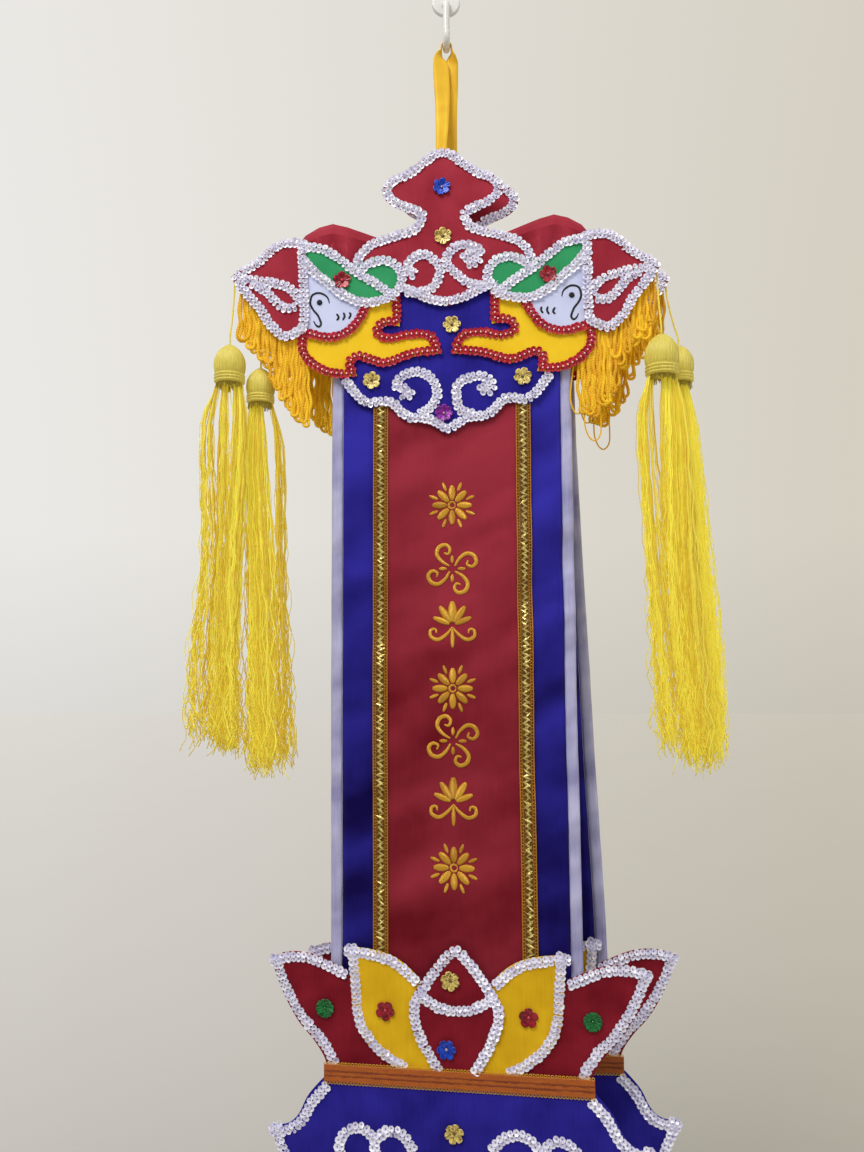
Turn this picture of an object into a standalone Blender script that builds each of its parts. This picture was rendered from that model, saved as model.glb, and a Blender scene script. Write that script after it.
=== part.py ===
"""Buddhist temple banner hanging by a ribbon loop from a wall hook.

The banner has two like faces, one behind the other, both turned to the room.
Each has a stiff head of stacked shapes, a long satin body and a stiff lotus
over a skirt.

Frame: +Z is up and the wall is the plane y = 0, with the room on its -Y side.
The origin is the centre of the hook plate's flat back. Sizes are in
millimetres in the tables and become metres when a piece is published.
"""

import math
from collections import namedtuple

import bmesh
import bpy
from mathutils import Vector

MM = 0.001
GAP = 0.3
LAYER = 1.2
PITCH = LAYER + GAP
SPACING = 13.0

# Wall hook
PLATE_RADIUS = 15.0
PLATE_THICK = 4.5
PLATE_EDGE = 1.2
PRONG_RADIUS = 3.6
PRONG_STEM_Y = -12.0
PRONG_BEND = 8.5
PRONG_BOTTOM = -62.0
PRONG_TIP = -47.0
SADDLE_Y = PRONG_STEM_Y - PRONG_BEND

# Hanging loop of folded ribbon
RIBBON = 1.2
LOOP_WIDTH_TOP = 12.5
LOOP_WIDTH_FOOT = 10.5
LOOP_WIDTH_PRONG = 5.0
LOOP_FOOT = -204.0

# Body of the banner
BODY_HALF = 119.0
BINDING = 11.0
RED_HALF = 70.5
BRAID_IN = 63.5
BRAID_OUT = 77.5
BODY_ROWS = (
    -330, -400, -445, -475, -508, -540, -575, -612, -650, -690,
    -735, -775, -815, -855, -900, -942, -1010, -1076,
)
# Depths of the body's layers behind the appliqués, back face of each
CLOTH_DEPTH = -4.0
CENTRE_DEPTH = -2.5
BRAID_DEPTH = -1.1
CENTRE_THICK = 1.1
BRAID_THICK = 0.8
BINDING_DEPTH = -4.2
BINDING_THICK = 1.6

# The hanging surface of each face: its depth at x = 0 and how it is turned
Hang = namedtuple("Hang", "height stand yaw")
FRONT_HANG = (
    Hang(-100, -26.9, 1.5),
    Hang(-475, -39.8, 1.5),
    Hang(-942, -55.9, 8.0),
    Hang(-1300, -68.2, 8.0),
)
BACK_HANG = (
    Hang(-100, -7.5, 0.5),
    Hang(-475, -10.0, 0.5),
    Hang(-942, -18.5, 4.0),
    Hang(-1300, -22.0, 4.0),
)

# Where the middle of the cloth body lies across, by height
Middle = namedtuple("Middle", "height across")
FRONT_MIDDLE = (Middle(-330, 4.7), Middle(-475, 4.7), Middle(-733, 5.0), Middle(-942, 6.2), Middle(-1076, 7.0))
BACK_MIDDLE = (Middle(-330, 11.0), Middle(-475, 14.0), Middle(-733, 25.0), Middle(-942, 35.0), Middle(-1076, 40.0))

# Where the stiff boards sit: their own middle, height and tilt in degrees
Seat = namedtuple("Seat", "across height tilt")
Side = namedtuple("Side", "name hang middle head lotus")
FRONT = Side("front", FRONT_HANG, FRONT_MIDDLE, Seat(-5.0, -177.5, 1.2), Seat(7.8, -1085.8, 0.5))
BACK = Side("back", BACK_HANG, BACK_MIDDLE, Seat(13.0, -178.0, 0.6), Seat(43.0, -1087.0, 0.3))

# Soft creases in the cloth body: middle, length, turn, half width and depth
Crease = namedtuple("Crease", "across height length turn width depth")
FRONT_CREASES = (
    Crease(10, -545, 110, 25, 24, 3.0),
    Crease(-20, -640, 130, 20, 28, 3.5),
    Crease(95, -610, 70, 55, 20, 4.0),
    Crease(25, -800, 120, 30, 30, 3.5),
    Crease(95, -760, 80, 60, 22, 4.0),
    Crease(-15, -880, 110, 15, 24, 3.0),
    Crease(-95, -700, 90, 75, 20, 2.5),
)
BACK_CREASES = (
    Crease(90, -650, 110, 70, 24, 3.5),
    Crease(60, -840, 120, 40, 26, 3.5),
    Crease(-60, -720, 130, 25, 28, 3.0),
)

# Outlines, seen from the room. Columns: across, up, sharp corner
RUYI = (
    (0, 0, 0), (13, -4.5, 0), (24, -13.5, 0), (37, -23, 0), (51, -28.5, 0), (60, -38, 0),
    (60.5, -48, 0), (52, -58.5, 0), (37, -66, 0), (20.5, -71, 1), (31, -81, 0), (58, -89.5, 0),
    (77, -97, 0), (89, -110, 0), (92, -120, 1), (70, -141, 0), (44, -149, 0), (21, -160, 0), (0, -165, 0),
)
CREST = (
    (139.4, -93.5, 1), (120, -101.5, 0), (105, -111.5, 0), (90, -121, 0), (75, -114, 0), (64, -111.8, 0),
    (53, -114.5, 0), (44, -124, 0), (43, -138, 0), (50, -148.5, 0), (68, -156, 0), (84, -157.5, 0),
    (97, -155.5, 0), (111, -147, 0), (126, -133, 0), (139.4, -116, 1),
)
MANE = (
    (140, -93.5, 1), (152, -91.5, 0), (166, -93, 0), (179, -101, 0), (190, -112, 0), (203, -119.5, 0),
    (215.5, -129, 1), (206, -145, 0), (190, -165, 0), (177, -185, 0), (160, -197, 0), (143.5, -190, 1),
    (138, -176, 0), (140, -150, 0),
)
FACE = (
    (77, -161, 1), (82.5, -173.5, 0), (93, -187, 0), (106, -194.5, 0), (122, -195.5, 0), (141, -190, 1),
    (148, -178, 0), (149, -140, 0), (147, -112, 0), (138, -104, 1), (126, -121, 0), (110, -138, 0),
    (96, -147.5, 0), (77, -150, 1),
)
BEAK = (
    (49.5, -143, 1), (49.5, -160, 0), (48.3, -181.7, 1), (64, -177.5, 0), (75.5, -185, 0), (70, -194, 0),
    (57, -196, 0), (40, -193, 0), (22, -193, 0), (13, -198, 0), (5, -211.5, 1), (22, -208.5, 0),
    (41, -213, 0), (65, -220, 0), (80, -213.5, 0), (90.5, -209.5, 0), (99, -217, 0), (93.2, -231.5, 1),
    (107, -229.5, 0), (122, -228, 0), (137, -218.5, 0), (144, -206, 0), (143.5, -194, 0), (141, -187, 1),
    (120, -185, 0), (101, -180, 0), (91, -165, 0), (84, -150, 0), (66, -145, 0),
)
LAMBREQUIN = (
    (0, -138, 0), (84, -138, 1), (100, -168, 0), (112, -192, 0), (113, -222, 0), (104, -240, 1),
    (97, -250, 0), (88, -257.5, 0), (76, -261.5, 0), (65, -260, 0), (56, -266, 0), (49, -275, 0),
    (37, -281.5, 0), (20, -285.5, 0), (0, -295, 0),
)
PETAL_CENTRE = (
    (0, 128.5, 1), (9, 121.5, 0), (20, 109.5, 0), (36, 87.5, 1), (42.5, 74, 0), (43, 60, 0),
    (37, 42, 0), (29.5, 28, 0), (17, 8.5, 1),
)
PETAL_INNER = (
    (103, 122, 1), (78, 119.5, 0), (62, 115.5, 0), (48, 108, 0), (35, 96.5, 1), (31, 70, 0),
    (22, 40, 0), (14, 8.5, 1), (42, 8.5, 1), (57, 14.5, 0), (75, 26, 0), (89, 41, 0), (95.5, 54, 0),
    (98.5, 72, 0), (100, 95, 0),
)
PETAL_OUTER = (
    (177.5, 109, 1), (164, 113.5, 0), (149, 114.5, 0), (132, 111.5, 0), (104, 100, 1), (92, 80, 0),
    (80, 45, 0), (50, 8.5, 1), (121, 8.5, 1), (126, 21, 0), (136, 35, 0), (149.5, 49.5, 0),
    (160, 65.5, 0), (167.5, 80, 0), (173, 93, 0),
)
WAIST = ((-125, 0, 1), (-125, 15.3, 1), (125, 15.3, 1), (125, 0, 1))
SKIRT = (
    (0, 8, 0), (120, 8, 1), (131, -3, 0), (141, -15, 0), (150, -32, 0), (160, -40, 0), (175.3, -42, 1),
    (173.5, -52, 0), (167, -68, 0), (160, -86, 0), (148, -100, 0), (131, -108, 0), (115, -107, 1),
    (107, -121, 0), (91, -131, 0), (73, -135, 0), (58, -132, 1), (50, -144, 0), (32, -152, 0), (0, -163, 1),
)

# Looped fringe behind the mane: across, lower edge of its tape, end of loops
FRINGE = (
    (205, -141, -188), (198, -149, -199), (190, -158, -208), (182, -170, -217), (175, -178, -224),
    (170, -183, -246), (160, -190, -262), (148, -197, -275), (138, -210, -283), (130, -217, -285),
)
FRINGE_TAPE = 7.0
FRINGE_LOCKS = 19
FRINGE_FREE = 15.0

# Tassels: head top and strand end, each across, depth and height
Tassel = namedtuple("Tassel", "name side reach head end spread_across spread_depth girth")
TASSELS = (
    Tassel("front_left", FRONT, -212, (-217.5, -33, -380), (-222, -36, -788), 1.9, 1.1, 1.0),
    Tassel("back_left", BACK, -207, (-189, -19.5, -400), (-176, -21, -812), 1.7, 0.8, 0.92),
    Tassel("front_right", FRONT, 212, (211.5, -51, -376), (230, -56, -788), 3.1, 1.1, 1.0),
    Tassel("back_right", BACK, 212, (236, -18.5, -370), (245, -19, -785), 2.0, 0.75, 0.98),
)
CORD_UP = -128.0
CORD_RADIUS = 0.9
CORD_HANG = 18.0
# Tassel head profile: down from its top, radius
TASSEL_HEAD = ((0, 1.1), (3, 6.5), (10, 12.2), (21, 15.2), (33, 13.6), (35, 14.2), (40, 13.4))
TASSEL_SIDES = 24
STRAND_RINGS = (13.4, 9.4, 5.6)
STRAND_INSET = 0.45
STRAND_LEVELS = (0.06, 0.5, 1.0)

# Gussets of satin folded between the two heads: across, ridge height
CANOPY_RIDGE = (
    (62, -104), (66, -90), (81, -84), (98, -77.5), (113, -73.5),
    (127, -77), (141, -85), (148, -94), (150, -108),
)
CANOPY_HEM = -150.0
CANOPY_THICK = 1.1

# Colours, roughness and metallic value
Finish = namedtuple("Finish", "name colour rough metal")
PLASTIC = Finish("white_plastic", (0.78, 0.77, 0.74), 0.35, 0.0)
LOOP_SATIN = Finish("loop_satin", (0.86, 0.50, 0.04), 0.45, 0.0)
RED = Finish("red_satin", (0.36, 0.02, 0.045), 0.5, 0.0)
BODY_RED = Finish("body_red_satin", (0.27, 0.015, 0.03), 0.45, 0.0)
BLUE = Finish("blue_satin", (0.016, 0.013, 0.22), 0.45, 0.0)
YELLOW = Finish("yellow_satin", (0.82, 0.52, 0.02), 0.5, 0.0)
GREEN = Finish("green_satin", (0.03, 0.30, 0.10), 0.5, 0.0)
WHITE = Finish("white_satin", (0.72, 0.72, 0.93), 0.55, 0.0)
LAVENDER = Finish("lavender_binding", (0.38, 0.38, 0.66), 0.6, 0.0)
GOLD = Finish("gold_braid", (0.52, 0.27, 0.02), 0.35, 0.6)
ORANGE = Finish("orange_ribbon", (0.52, 0.14, 0.015), 0.6, 0.0)
FRINGE_YARN = Finish("fringe_yarn", (0.93, 0.50, 0.02), 0.7, 0.0)
TASSEL_YARN = Finish("tassel_yarn", (0.80, 0.66, 0.03), 0.6, 0.0)


def clear_scene():
    """Remove every object that the new file starts with."""
    for item in list(bpy.data.objects):
        bpy.data.objects.remove(item, do_unlink=True)


def blend(rows, height, column):
    """Read a column of a table at a height, straight between its rows."""
    above = rows[0]
    for below in rows[1:]:
        if height >= below.height:
            share = (above.height - height) / (above.height - below.height)
            share = min(max(share, 0.0), 1.0)
            return getattr(above, column) * (1 - share) + getattr(below, column) * share
        above = below
    return getattr(rows[-1], column)


def face_depth(side, x, z):
    """Depth in y of a face's hanging surface at a place."""
    stand = blend(side.hang, z, "stand")
    yaw = math.radians(blend(side.hang, z, "yaw"))
    return stand - x * math.tan(yaw)


def on_board(side, seat, across, up, depth):
    """Place a point of a stiff board on its face, depth counted to the room."""
    tilt = math.radians(seat.tilt)
    reach = across * math.cos(tilt) - up * math.sin(tilt)
    z = seat.height + across * math.sin(tilt) + up * math.cos(tilt)
    yaw = math.radians(blend(side.hang, seat.height - 20, "yaw"))
    x = seat.across + reach * math.cos(yaw)
    return Vector((x, face_depth(side, x, z) - depth, z))


def crease_depth(side, across, height):
    """Depth of the body's soft creases, away from the room, at a place."""
    total = 0.0
    for crease in FRONT_CREASES if side is FRONT else BACK_CREASES:
        turn = math.radians(crease.turn)
        dx = across - crease.across
        dz = height - crease.height
        along = dx * math.cos(turn) + dz * math.sin(turn)
        off = -dx * math.sin(turn) + dz * math.cos(turn)
        total += crease.depth * math.exp(-((off / crease.width) ** 2) - (along / crease.length) ** 2)
    top = min(max((-480 - height) / 50, 0.0), 1.0)
    foot = min(max((height + 938) / 50, 0.0), 1.0)
    return total * top * foot


def on_body(side, across, height, depth):
    """Place a point of the cloth body on its face, depth counted to the room."""
    yaw = math.radians(blend(side.hang, height, "yaw"))
    x = blend(side.middle, height, "across") + across * math.cos(yaw)
    lift = depth - crease_depth(side, across, height)
    return Vector((x, face_depth(side, x, height) - lift, height))


def smooth_loop(spots):
    """Closed curve through an outline's spots, broken at its sharp ones."""
    loop = []
    count = len(spots)
    for index in range(count):
        before, start, end, after = (spots[(index + shift) % count] for shift in (-1, 0, 1, 2))
        p = Vector(start[:2])
        q = Vector(end[:2])
        chord = (q - p).length
        leave = q - p if start[2] else (q - Vector(before[:2])).normalized() * chord
        reach = q - p if end[2] else (Vector(after[:2]) - p).normalized() * chord
        straight = start[2] and end[2]
        parts = 1 if straight else max(1, round(chord / SPACING))
        for part in range(parts):
            t = part / parts
            near = (2 * t ** 3 - 3 * t ** 2 + 1) * p + (t ** 3 - 2 * t ** 2 + t) * leave
            far = (3 * t ** 2 - 2 * t ** 3) * q + (t ** 3 - t ** 2) * reach
            loop.append(near + far)
    return loop


def mirrored(spots):
    """Whole outline of a shape whose right half runs from top to bottom."""
    left = [(-across, up, sharp) for across, up, sharp in reversed(spots) if across > 0]
    return list(spots) + left


def flipped(spots):
    """The left-hand twin of a right-hand outline."""
    return [(-across, up, sharp) for across, up, sharp in spots]


def skin(rings):
    """Closed body through rings of equal count, with a cap at each end."""
    bm = bmesh.new()
    loops = [[bm.verts.new(point) for point in ring] for ring in rings]
    for lower, upper in zip(loops, loops[1:]):
        for index in range(len(lower)):
            after = (index + 1) % len(lower)
            bm.faces.new((lower[index], lower[after], upper[after], upper[index]))
    bm.faces.new(list(reversed(loops[0])))
    bm.faces.new(loops[-1])
    return bm


def slab(grid_inner, grid_outer):
    """Closed sheet between two equal grids of points, walled at its rim."""
    bm = bmesh.new()
    inner = [[bm.verts.new(point) for point in row] for row in grid_inner]
    outer = [[bm.verts.new(point) for point in row] for row in grid_outer]
    rows = len(inner) - 1
    columns = len(inner[0]) - 1
    for r in range(rows):
        for c in range(columns):
            bm.faces.new((inner[r][c], inner[r][c + 1], inner[r + 1][c + 1]))
            bm.faces.new((inner[r][c], inner[r + 1][c + 1], inner[r + 1][c]))
            bm.faces.new((outer[r][c], outer[r + 1][c + 1], outer[r][c + 1]))
            bm.faces.new((outer[r][c], outer[r + 1][c], outer[r + 1][c + 1]))
    rim = [(0, c) for c in range(columns)]
    rim += [(r, columns) for r in range(rows)]
    rim += [(rows, c) for c in range(columns, 0, -1)]
    rim += [(r, 0) for r in range(rows, 0, -1)]
    for index, (r, c) in enumerate(rim):
        nr, nc = rim[(index + 1) % len(rim)]
        bm.faces.new((inner[r][c], outer[r][c], outer[nr][nc], inner[nr][nc]))
    return bm


def paint(finish):
    """Material of a finish, made for one piece."""
    material = bpy.data.materials.new(finish.name)
    material.use_nodes = True
    shader = material.node_tree.nodes["Principled BSDF"]
    shader.inputs["Base Color"].default_value = (*finish.colour, 1.0)
    shader.inputs["Roughness"].default_value = finish.rough
    shader.inputs["Metallic"].default_value = finish.metal
    material.diffuse_color = (*finish.colour, 1.0)
    return material


def publish(bm, name, finish, parent):
    """Turn a body in millimetres into a named object in metres."""
    bmesh.ops.recalc_face_normals(bm, faces=bm.faces)
    bmesh.ops.triangulate(bm, faces=[face for face in bm.faces if len(face.verts) > 3])
    low = Vector([min(vert.co[axis] for vert in bm.verts) for axis in range(3)])
    high = Vector([max(vert.co[axis] for vert in bm.verts) for axis in range(3)])
    middle = (low + high) / 2
    for vert in bm.verts:
        vert.co = (vert.co - middle) * MM
    mesh = bpy.data.meshes.new(name)
    bm.to_mesh(mesh)
    bm.free()
    item = bpy.data.objects.new(name, mesh)
    bpy.context.scene.collection.objects.link(item)
    item.location = middle * MM
    item.parent = parent
    mesh.materials.append(paint(finish))
    return item


def guide(name, parent=None):
    """Empty that groups the pieces of one part of the banner."""
    empty = bpy.data.objects.new(name, None)
    bpy.context.scene.collection.objects.link(empty)
    empty.parent = parent
    return empty


def hook_plate(parent):
    """Round plate of the wall hook with its front edge rounded."""
    profile = (
        (0.0, PLATE_RADIUS),
        (PLATE_THICK - PLATE_EDGE, PLATE_RADIUS),
        (PLATE_THICK - PLATE_EDGE * 0.3, PLATE_RADIUS - PLATE_EDGE * 0.3),
        (PLATE_THICK, PLATE_RADIUS - PLATE_EDGE),
    )
    rings = []
    for out, radius in profile:
        turns = [math.tau * step / 32 for step in range(32)]
        rings.append([(radius * math.cos(a), -out, radius * math.sin(a)) for a in turns])
    publish(skin(rings), "hook_plate", PLASTIC, parent)


def hook_arm(parent):
    """J-shaped prong: out of the plate, down, round under the loop and up."""
    start = -PLATE_THICK - GAP
    route = [(start, -4.0), (start - 2.7, -4.0), (-10.2, -5.7), (-11.6, -8.7), (PRONG_STEM_Y, -12.5)]
    floor = PRONG_BOTTOM + PRONG_BEND
    route.append((PRONG_STEM_Y, (floor - 14.0) / 2))
    for step in range(11):
        turn = math.pi * step / 10
        y = SADDLE_Y + PRONG_BEND * math.cos(turn)
        route.append((y, floor - PRONG_BEND * math.sin(turn)))
    route.append((SADDLE_Y - PRONG_BEND, PRONG_TIP))
    curve = bpy.data.curves.new("hook_arm", "CURVE")
    curve.dimensions = "3D"
    curve.bevel_depth = PRONG_RADIUS * MM
    curve.bevel_resolution = 2
    curve.use_fill_caps = True
    spline = curve.splines.new("POLY")
    spline.points.add(len(route) - 1)
    for point, (y, z) in zip(spline.points, route):
        point.co = (0.0, y * MM, z * MM, 1.0)
    arm = bpy.data.objects.new("hook_arm", curve)
    bpy.context.scene.collection.objects.link(arm)
    arm.parent = parent
    curve.materials.append(paint(PLASTIC))


def loop_route():
    """Stations of the folded ribbon: point, turn of its width, width."""
    hollow = PRONG_BEND - PRONG_RADIUS
    rise = hollow - math.sqrt(hollow ** 2 - (LOOP_WIDTH_PRONG / 2) ** 2)
    crown = PRONG_RADIUS + GAP + RIBBON / 2 + rise
    centre = PRONG_BOTTOM
    front_foot = face_depth(FRONT, -7, LOOP_FOOT) - 2 * PITCH + GAP + RIBBON / 2
    back_foot = face_depth(BACK, 7, LOOP_FOOT) - 2 * PITCH + GAP + RIBBON / 2
    leg = (
        (-6.6, front_foot, LOOP_FOOT, 0.0, LOOP_WIDTH_FOOT),
        (-6.8, front_foot + 1.2, -176.0, 0.0, LOOP_WIDTH_FOOT),
        (-7.0, SADDLE_Y - 8.0, -150.0, 0.0, LOOP_WIDTH_FOOT + 0.3),
        (-7.7, SADDLE_Y - 2.5, -122.0, 2.0, LOOP_WIDTH_TOP - 0.6),
        (-8.2, SADDLE_Y - 0.5, -103.0, 8.0, LOOP_WIDTH_TOP),
        (-8.7, SADDLE_Y, -90.0, 22.0, LOOP_WIDTH_TOP),
        (-8.6, SADDLE_Y, -80.0, 40.0, LOOP_WIDTH_TOP),
        (-7.6, SADDLE_Y, -73.0, 62.0, LOOP_WIDTH_TOP - 0.7),
        (-crown - 0.7, SADDLE_Y, -67.5, 84.0, LOOP_WIDTH_TOP - 2.0),
    )
    arch = []
    for step in range(9):
        turn = math.pi * (1 - step / 8)
        arch.append((crown * math.cos(turn), SADDLE_Y, centre + crown * math.sin(turn), 90.0, LOOP_WIDTH_PRONG))
    shift = back_foot - SADDLE_Y
    other = (
        (crown + 0.7, SADDLE_Y, -67.5, 96.0, LOOP_WIDTH_TOP - 2.0),
        (7.6, SADDLE_Y, -73.0, 118.0, LOOP_WIDTH_TOP - 0.7),
        (8.6, SADDLE_Y, -80.0, 140.0, LOOP_WIDTH_TOP),
        (8.7, SADDLE_Y, -90.0, 158.0, LOOP_WIDTH_TOP),
        (8.2, SADDLE_Y, -103.0, 172.0, LOOP_WIDTH_TOP),
        (7.7, SADDLE_Y + 0.15 * shift, -122.0, 178.0, LOOP_WIDTH_TOP - 0.6),
        (7.0, SADDLE_Y + 0.5 * shift, -150.0, 180.0, LOOP_WIDTH_FOOT + 0.3),
        (6.8, back_foot + 1.0, -176.0, 180.0, LOOP_WIDTH_FOOT),
        (6.6, back_foot, LOOP_FOOT, 180.0, LOOP_WIDTH_FOOT),
    )
    return list(leg) + arch + list(other)


def hanging_loop(parent):
    """One ribbon from the front head, over the prong, to the back head."""
    stations = loop_route()
    rings = []
    for index, (x, y, z, turn, width) in enumerate(stations):
        ahead = Vector(stations[min(index + 1, len(stations) - 1)][:3])
        behind = Vector(stations[max(index - 1, 0)][:3])
        run = (ahead - behind).normalized()
        angle = math.radians(turn)
        broad = Vector((math.cos(angle), math.sin(angle), 0.0))
        broad = (broad - run * broad.dot(run)).normalized()
        thin = run.cross(broad)
        middle = Vector((x, y, z))
        corners = ((-1, -1), (1, -1), (1, 1), (-1, 1))
        rings.append([middle + broad * a * width / 2 + thin * b * RIBBON / 2 for a, b in corners])
    publish(skin(rings), "hanging_loop", LOOP_SATIN, parent)


def board(name, spots, layer, side, seat, finish, parent):
    """Stiff flat piece: an outline extruded in its own layer of a face."""
    near = layer * PITCH
    loop = smooth_loop(spots)
    rings = []
    for depth in (near, near + LAYER):
        rings.append([on_board(side, seat, p.x, p.y, depth) for p in loop])
    publish(skin(rings), f"{side.name}_{name}", finish, parent)


def pair(name, spots, layer, side, seat, finish, parent):
    """A right-hand piece and its left-hand twin."""
    board(f"{name}_right", spots, layer, side, seat, finish, parent)
    board(f"{name}_left", flipped(spots), layer, side, seat, finish, parent)


def head(side, parent):
    """Cloud plaque, crests, faces, manes, beaks and apron of one face."""
    seat = side.head
    board("lambrequin", mirrored(LAMBREQUIN), 0, side, seat, BLUE, parent)
    pair("beak", BEAK, 1, side, seat, YELLOW, parent)
    board("ruyi", mirrored(RUYI), 2, side, seat, RED, parent)
    pair("face", FACE, 2, side, seat, WHITE, parent)
    pair("mane", MANE, 3, side, seat, RED, parent)
    pair("crest", CREST, 3, side, seat, GREEN, parent)


def lotus(side, parent):
    """Five petals, waist ribbon and skirt of one face."""
    seat = side.lotus
    pair("petal_outer", PETAL_OUTER, 0, side, seat, RED, parent)
    pair("petal_inner", PETAL_INNER, 1, side, seat, YELLOW, parent)
    board("petal_centre", mirrored(PETAL_CENTRE), 2, side, seat, RED, parent)
    board("skirt", mirrored(SKIRT), 2, side, seat, BLUE, parent)
    board("waist_ribbon", WAIST, 3, side, seat, ORANGE, parent)


def body_piece(name, columns, near, thick, side, finish, parent):
    """Strip of the cloth body on the shared grid of columns and rows."""
    grids = []
    for depth in (near, near + thick):
        grids.append([[on_body(side, s, z, depth) for s in columns] for z in BODY_ROWS])
    publish(slab(*grids), f"{side.name}_{name}", finish, parent)


def body(side, parent):
    """Blue cloth, red centre, two braids and two bindings of one face."""
    edge = BODY_HALF - BINDING - GAP
    inner = (-RED_HALF, -BRAID_IN, -32, 0, 32, BRAID_IN, RED_HALF)
    columns = (-edge, -BRAID_OUT, *inner, BRAID_OUT, edge)
    body_piece("body_cloth", columns, CLOTH_DEPTH, LAYER, side, BLUE, parent)
    body_piece("body_centre", inner, CENTRE_DEPTH, CENTRE_THICK, side, BODY_RED, parent)
    right = (BRAID_IN, RED_HALF, BRAID_OUT)
    left = (-BRAID_OUT, -RED_HALF, -BRAID_IN)
    body_piece("braid_right", right, BRAID_DEPTH, BRAID_THICK, side, GOLD, parent)
    body_piece("braid_left", left, BRAID_DEPTH, BRAID_THICK, side, GOLD, parent)
    right = (BODY_HALF - BINDING, BODY_HALF)
    left = (-BODY_HALF, BINDING - BODY_HALF)
    body_piece("binding_right", right, BINDING_DEPTH, BINDING_THICK, side, LAVENDER, parent)
    body_piece("binding_left", left, BINDING_DEPTH, BINDING_THICK, side, LAVENDER, parent)


def along_fringe(share):
    """Across, tape edge and loop end at a share of the fringe's width."""
    reach = FRINGE[0][0] + (FRINGE[-1][0] - FRINGE[0][0]) * share
    for left, right in zip(FRINGE, FRINGE[1:]):
        if reach >= right[0]:
            part = (left[0] - reach) / (left[0] - right[0])
            return tuple(a + (b - a) * part for a, b in zip(left, right))
    return FRINGE[-1]


def fringe(name, side, mirror, parent):
    """Tape with a row of looped locks hanging apart below it."""
    pitch = (FRINGE[0][0] - FRINGE[-1][0]) / FRINGE_LOCKS
    loop = []
    for index in range(FRINGE_LOCKS):
        across, edge, end = along_fringe((index + 0.5) / FRINGE_LOCKS)
        end += 5.0 * math.sin(2.4 * index)
        belly = edge + (end - edge) * 0.85
        right = along_fringe((index + 0.12) / FRINGE_LOCKS)[1]
        left = along_fringe((index + 0.88) / FRINGE_LOCKS)[1]
        loop += [
            (across + 0.38 * pitch, right), (across + 0.44 * pitch, belly), (across + 0.2 * pitch, end),
            (across - 0.2 * pitch, end), (across - 0.44 * pitch, belly), (across - 0.38 * pitch, left),
        ]
    for across, edge, _ in reversed(FRINGE[::2]):
        loop.append((across, edge + FRINGE_TAPE))
    rings = []
    for depth in (0.0, LAYER):
        ring = []
        for across, up in loop:
            edge = along_fringe((FRINGE[0][0] - across) / (FRINGE[0][0] - FRINGE[-1][0]))[1]
            fall = max(0.0, edge - up - FRINGE_FREE)
            sway = 0.03 * fall * math.sin(across / 5.0)
            ring.append(on_board(side, side.head, mirror * across, up, depth + sway))
        rings.append(ring)
    publish(skin(rings), name, FRINGE_YARN, parent)


def strand(bm, face, row):
    """Hang one tapering strand from a face under a tassel's head."""
    root = [vert.co.copy() for vert in face.verts]
    middle = sum(root, Vector()) / len(root)
    head_x, head_y, _ = row.head
    end_x, end_y, end_z = row.end
    end_z += 14.0 * math.sin(1.7 * middle.x + 0.9 * middle.y)
    last = list(face.verts)
    bm.faces.remove(face)
    for level in STRAND_LEVELS:
        ease = level ** 0.8
        puff = level ** 0.25
        wide = 1 + (row.spread_across - 1) * puff
        deep = 1 + (row.spread_depth - 1) * puff
        centre = Vector((
            head_x + (end_x - head_x) * ease + (middle.x - head_x) * wide,
            head_y + (end_y - head_y) * ease + (middle.y - head_y) * deep,
            middle.z + (end_z - middle.z) * level,
        ))
        size = 1.0 - 0.45 * level
        ring = [bm.verts.new(centre + (point - middle) * size * min(deep, 1.0)) for point in root]
        for index in range(len(ring)):
            after = (index + 1) % len(ring)
            bm.faces.new((last[index], last[after], ring[after], ring[index]))
        last = ring
    bm.faces.new(last)


def ring_of(turns, x, y, z, radius):
    """Level circle of points about a place."""
    return [(x + radius * math.cos(a), y + radius * math.sin(a), z) for a in turns]


def tassel(row, parent):
    """Cord, round head with its band, and strands standing apart."""
    turns = [math.tau * step / TASSEL_SIDES for step in range(TASSEL_SIDES)]
    behind = 3 * PITCH - GAP - CORD_RADIUS
    top = on_board(row.side, row.side.head, row.reach, CORD_UP, behind)
    rings = [ring_of(turns, *top, CORD_RADIUS)]
    rings.append(ring_of(turns, top.x, top.y, top.z - CORD_HANG, CORD_RADIUS))
    x, y, z = row.head
    for down, radius in TASSEL_HEAD:
        rings.append(ring_of(turns, x, y, z - down, radius * row.girth))
    for radius in STRAND_RINGS[1:]:
        rings.append(ring_of(turns, x, y, z - down, radius * row.girth))
    bm = skin(rings)
    bm.faces.ensure_lookup_table()
    belt = (len(TASSEL_HEAD) + 1) * TASSEL_SIDES
    chosen = []
    for ring in range(len(STRAND_RINGS) - 1):
        first = belt + ring * TASSEL_SIDES
        chosen += [bm.faces[first + step] for step in range(ring % 2, TASSEL_SIDES, 2)]
    bmesh.ops.inset_individual(bm, faces=chosen, thickness=STRAND_INSET)
    for face in chosen:
        strand(bm, face, row)
    publish(bm, f"tassel_{row.name}", TASSEL_YARN, parent)


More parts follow.
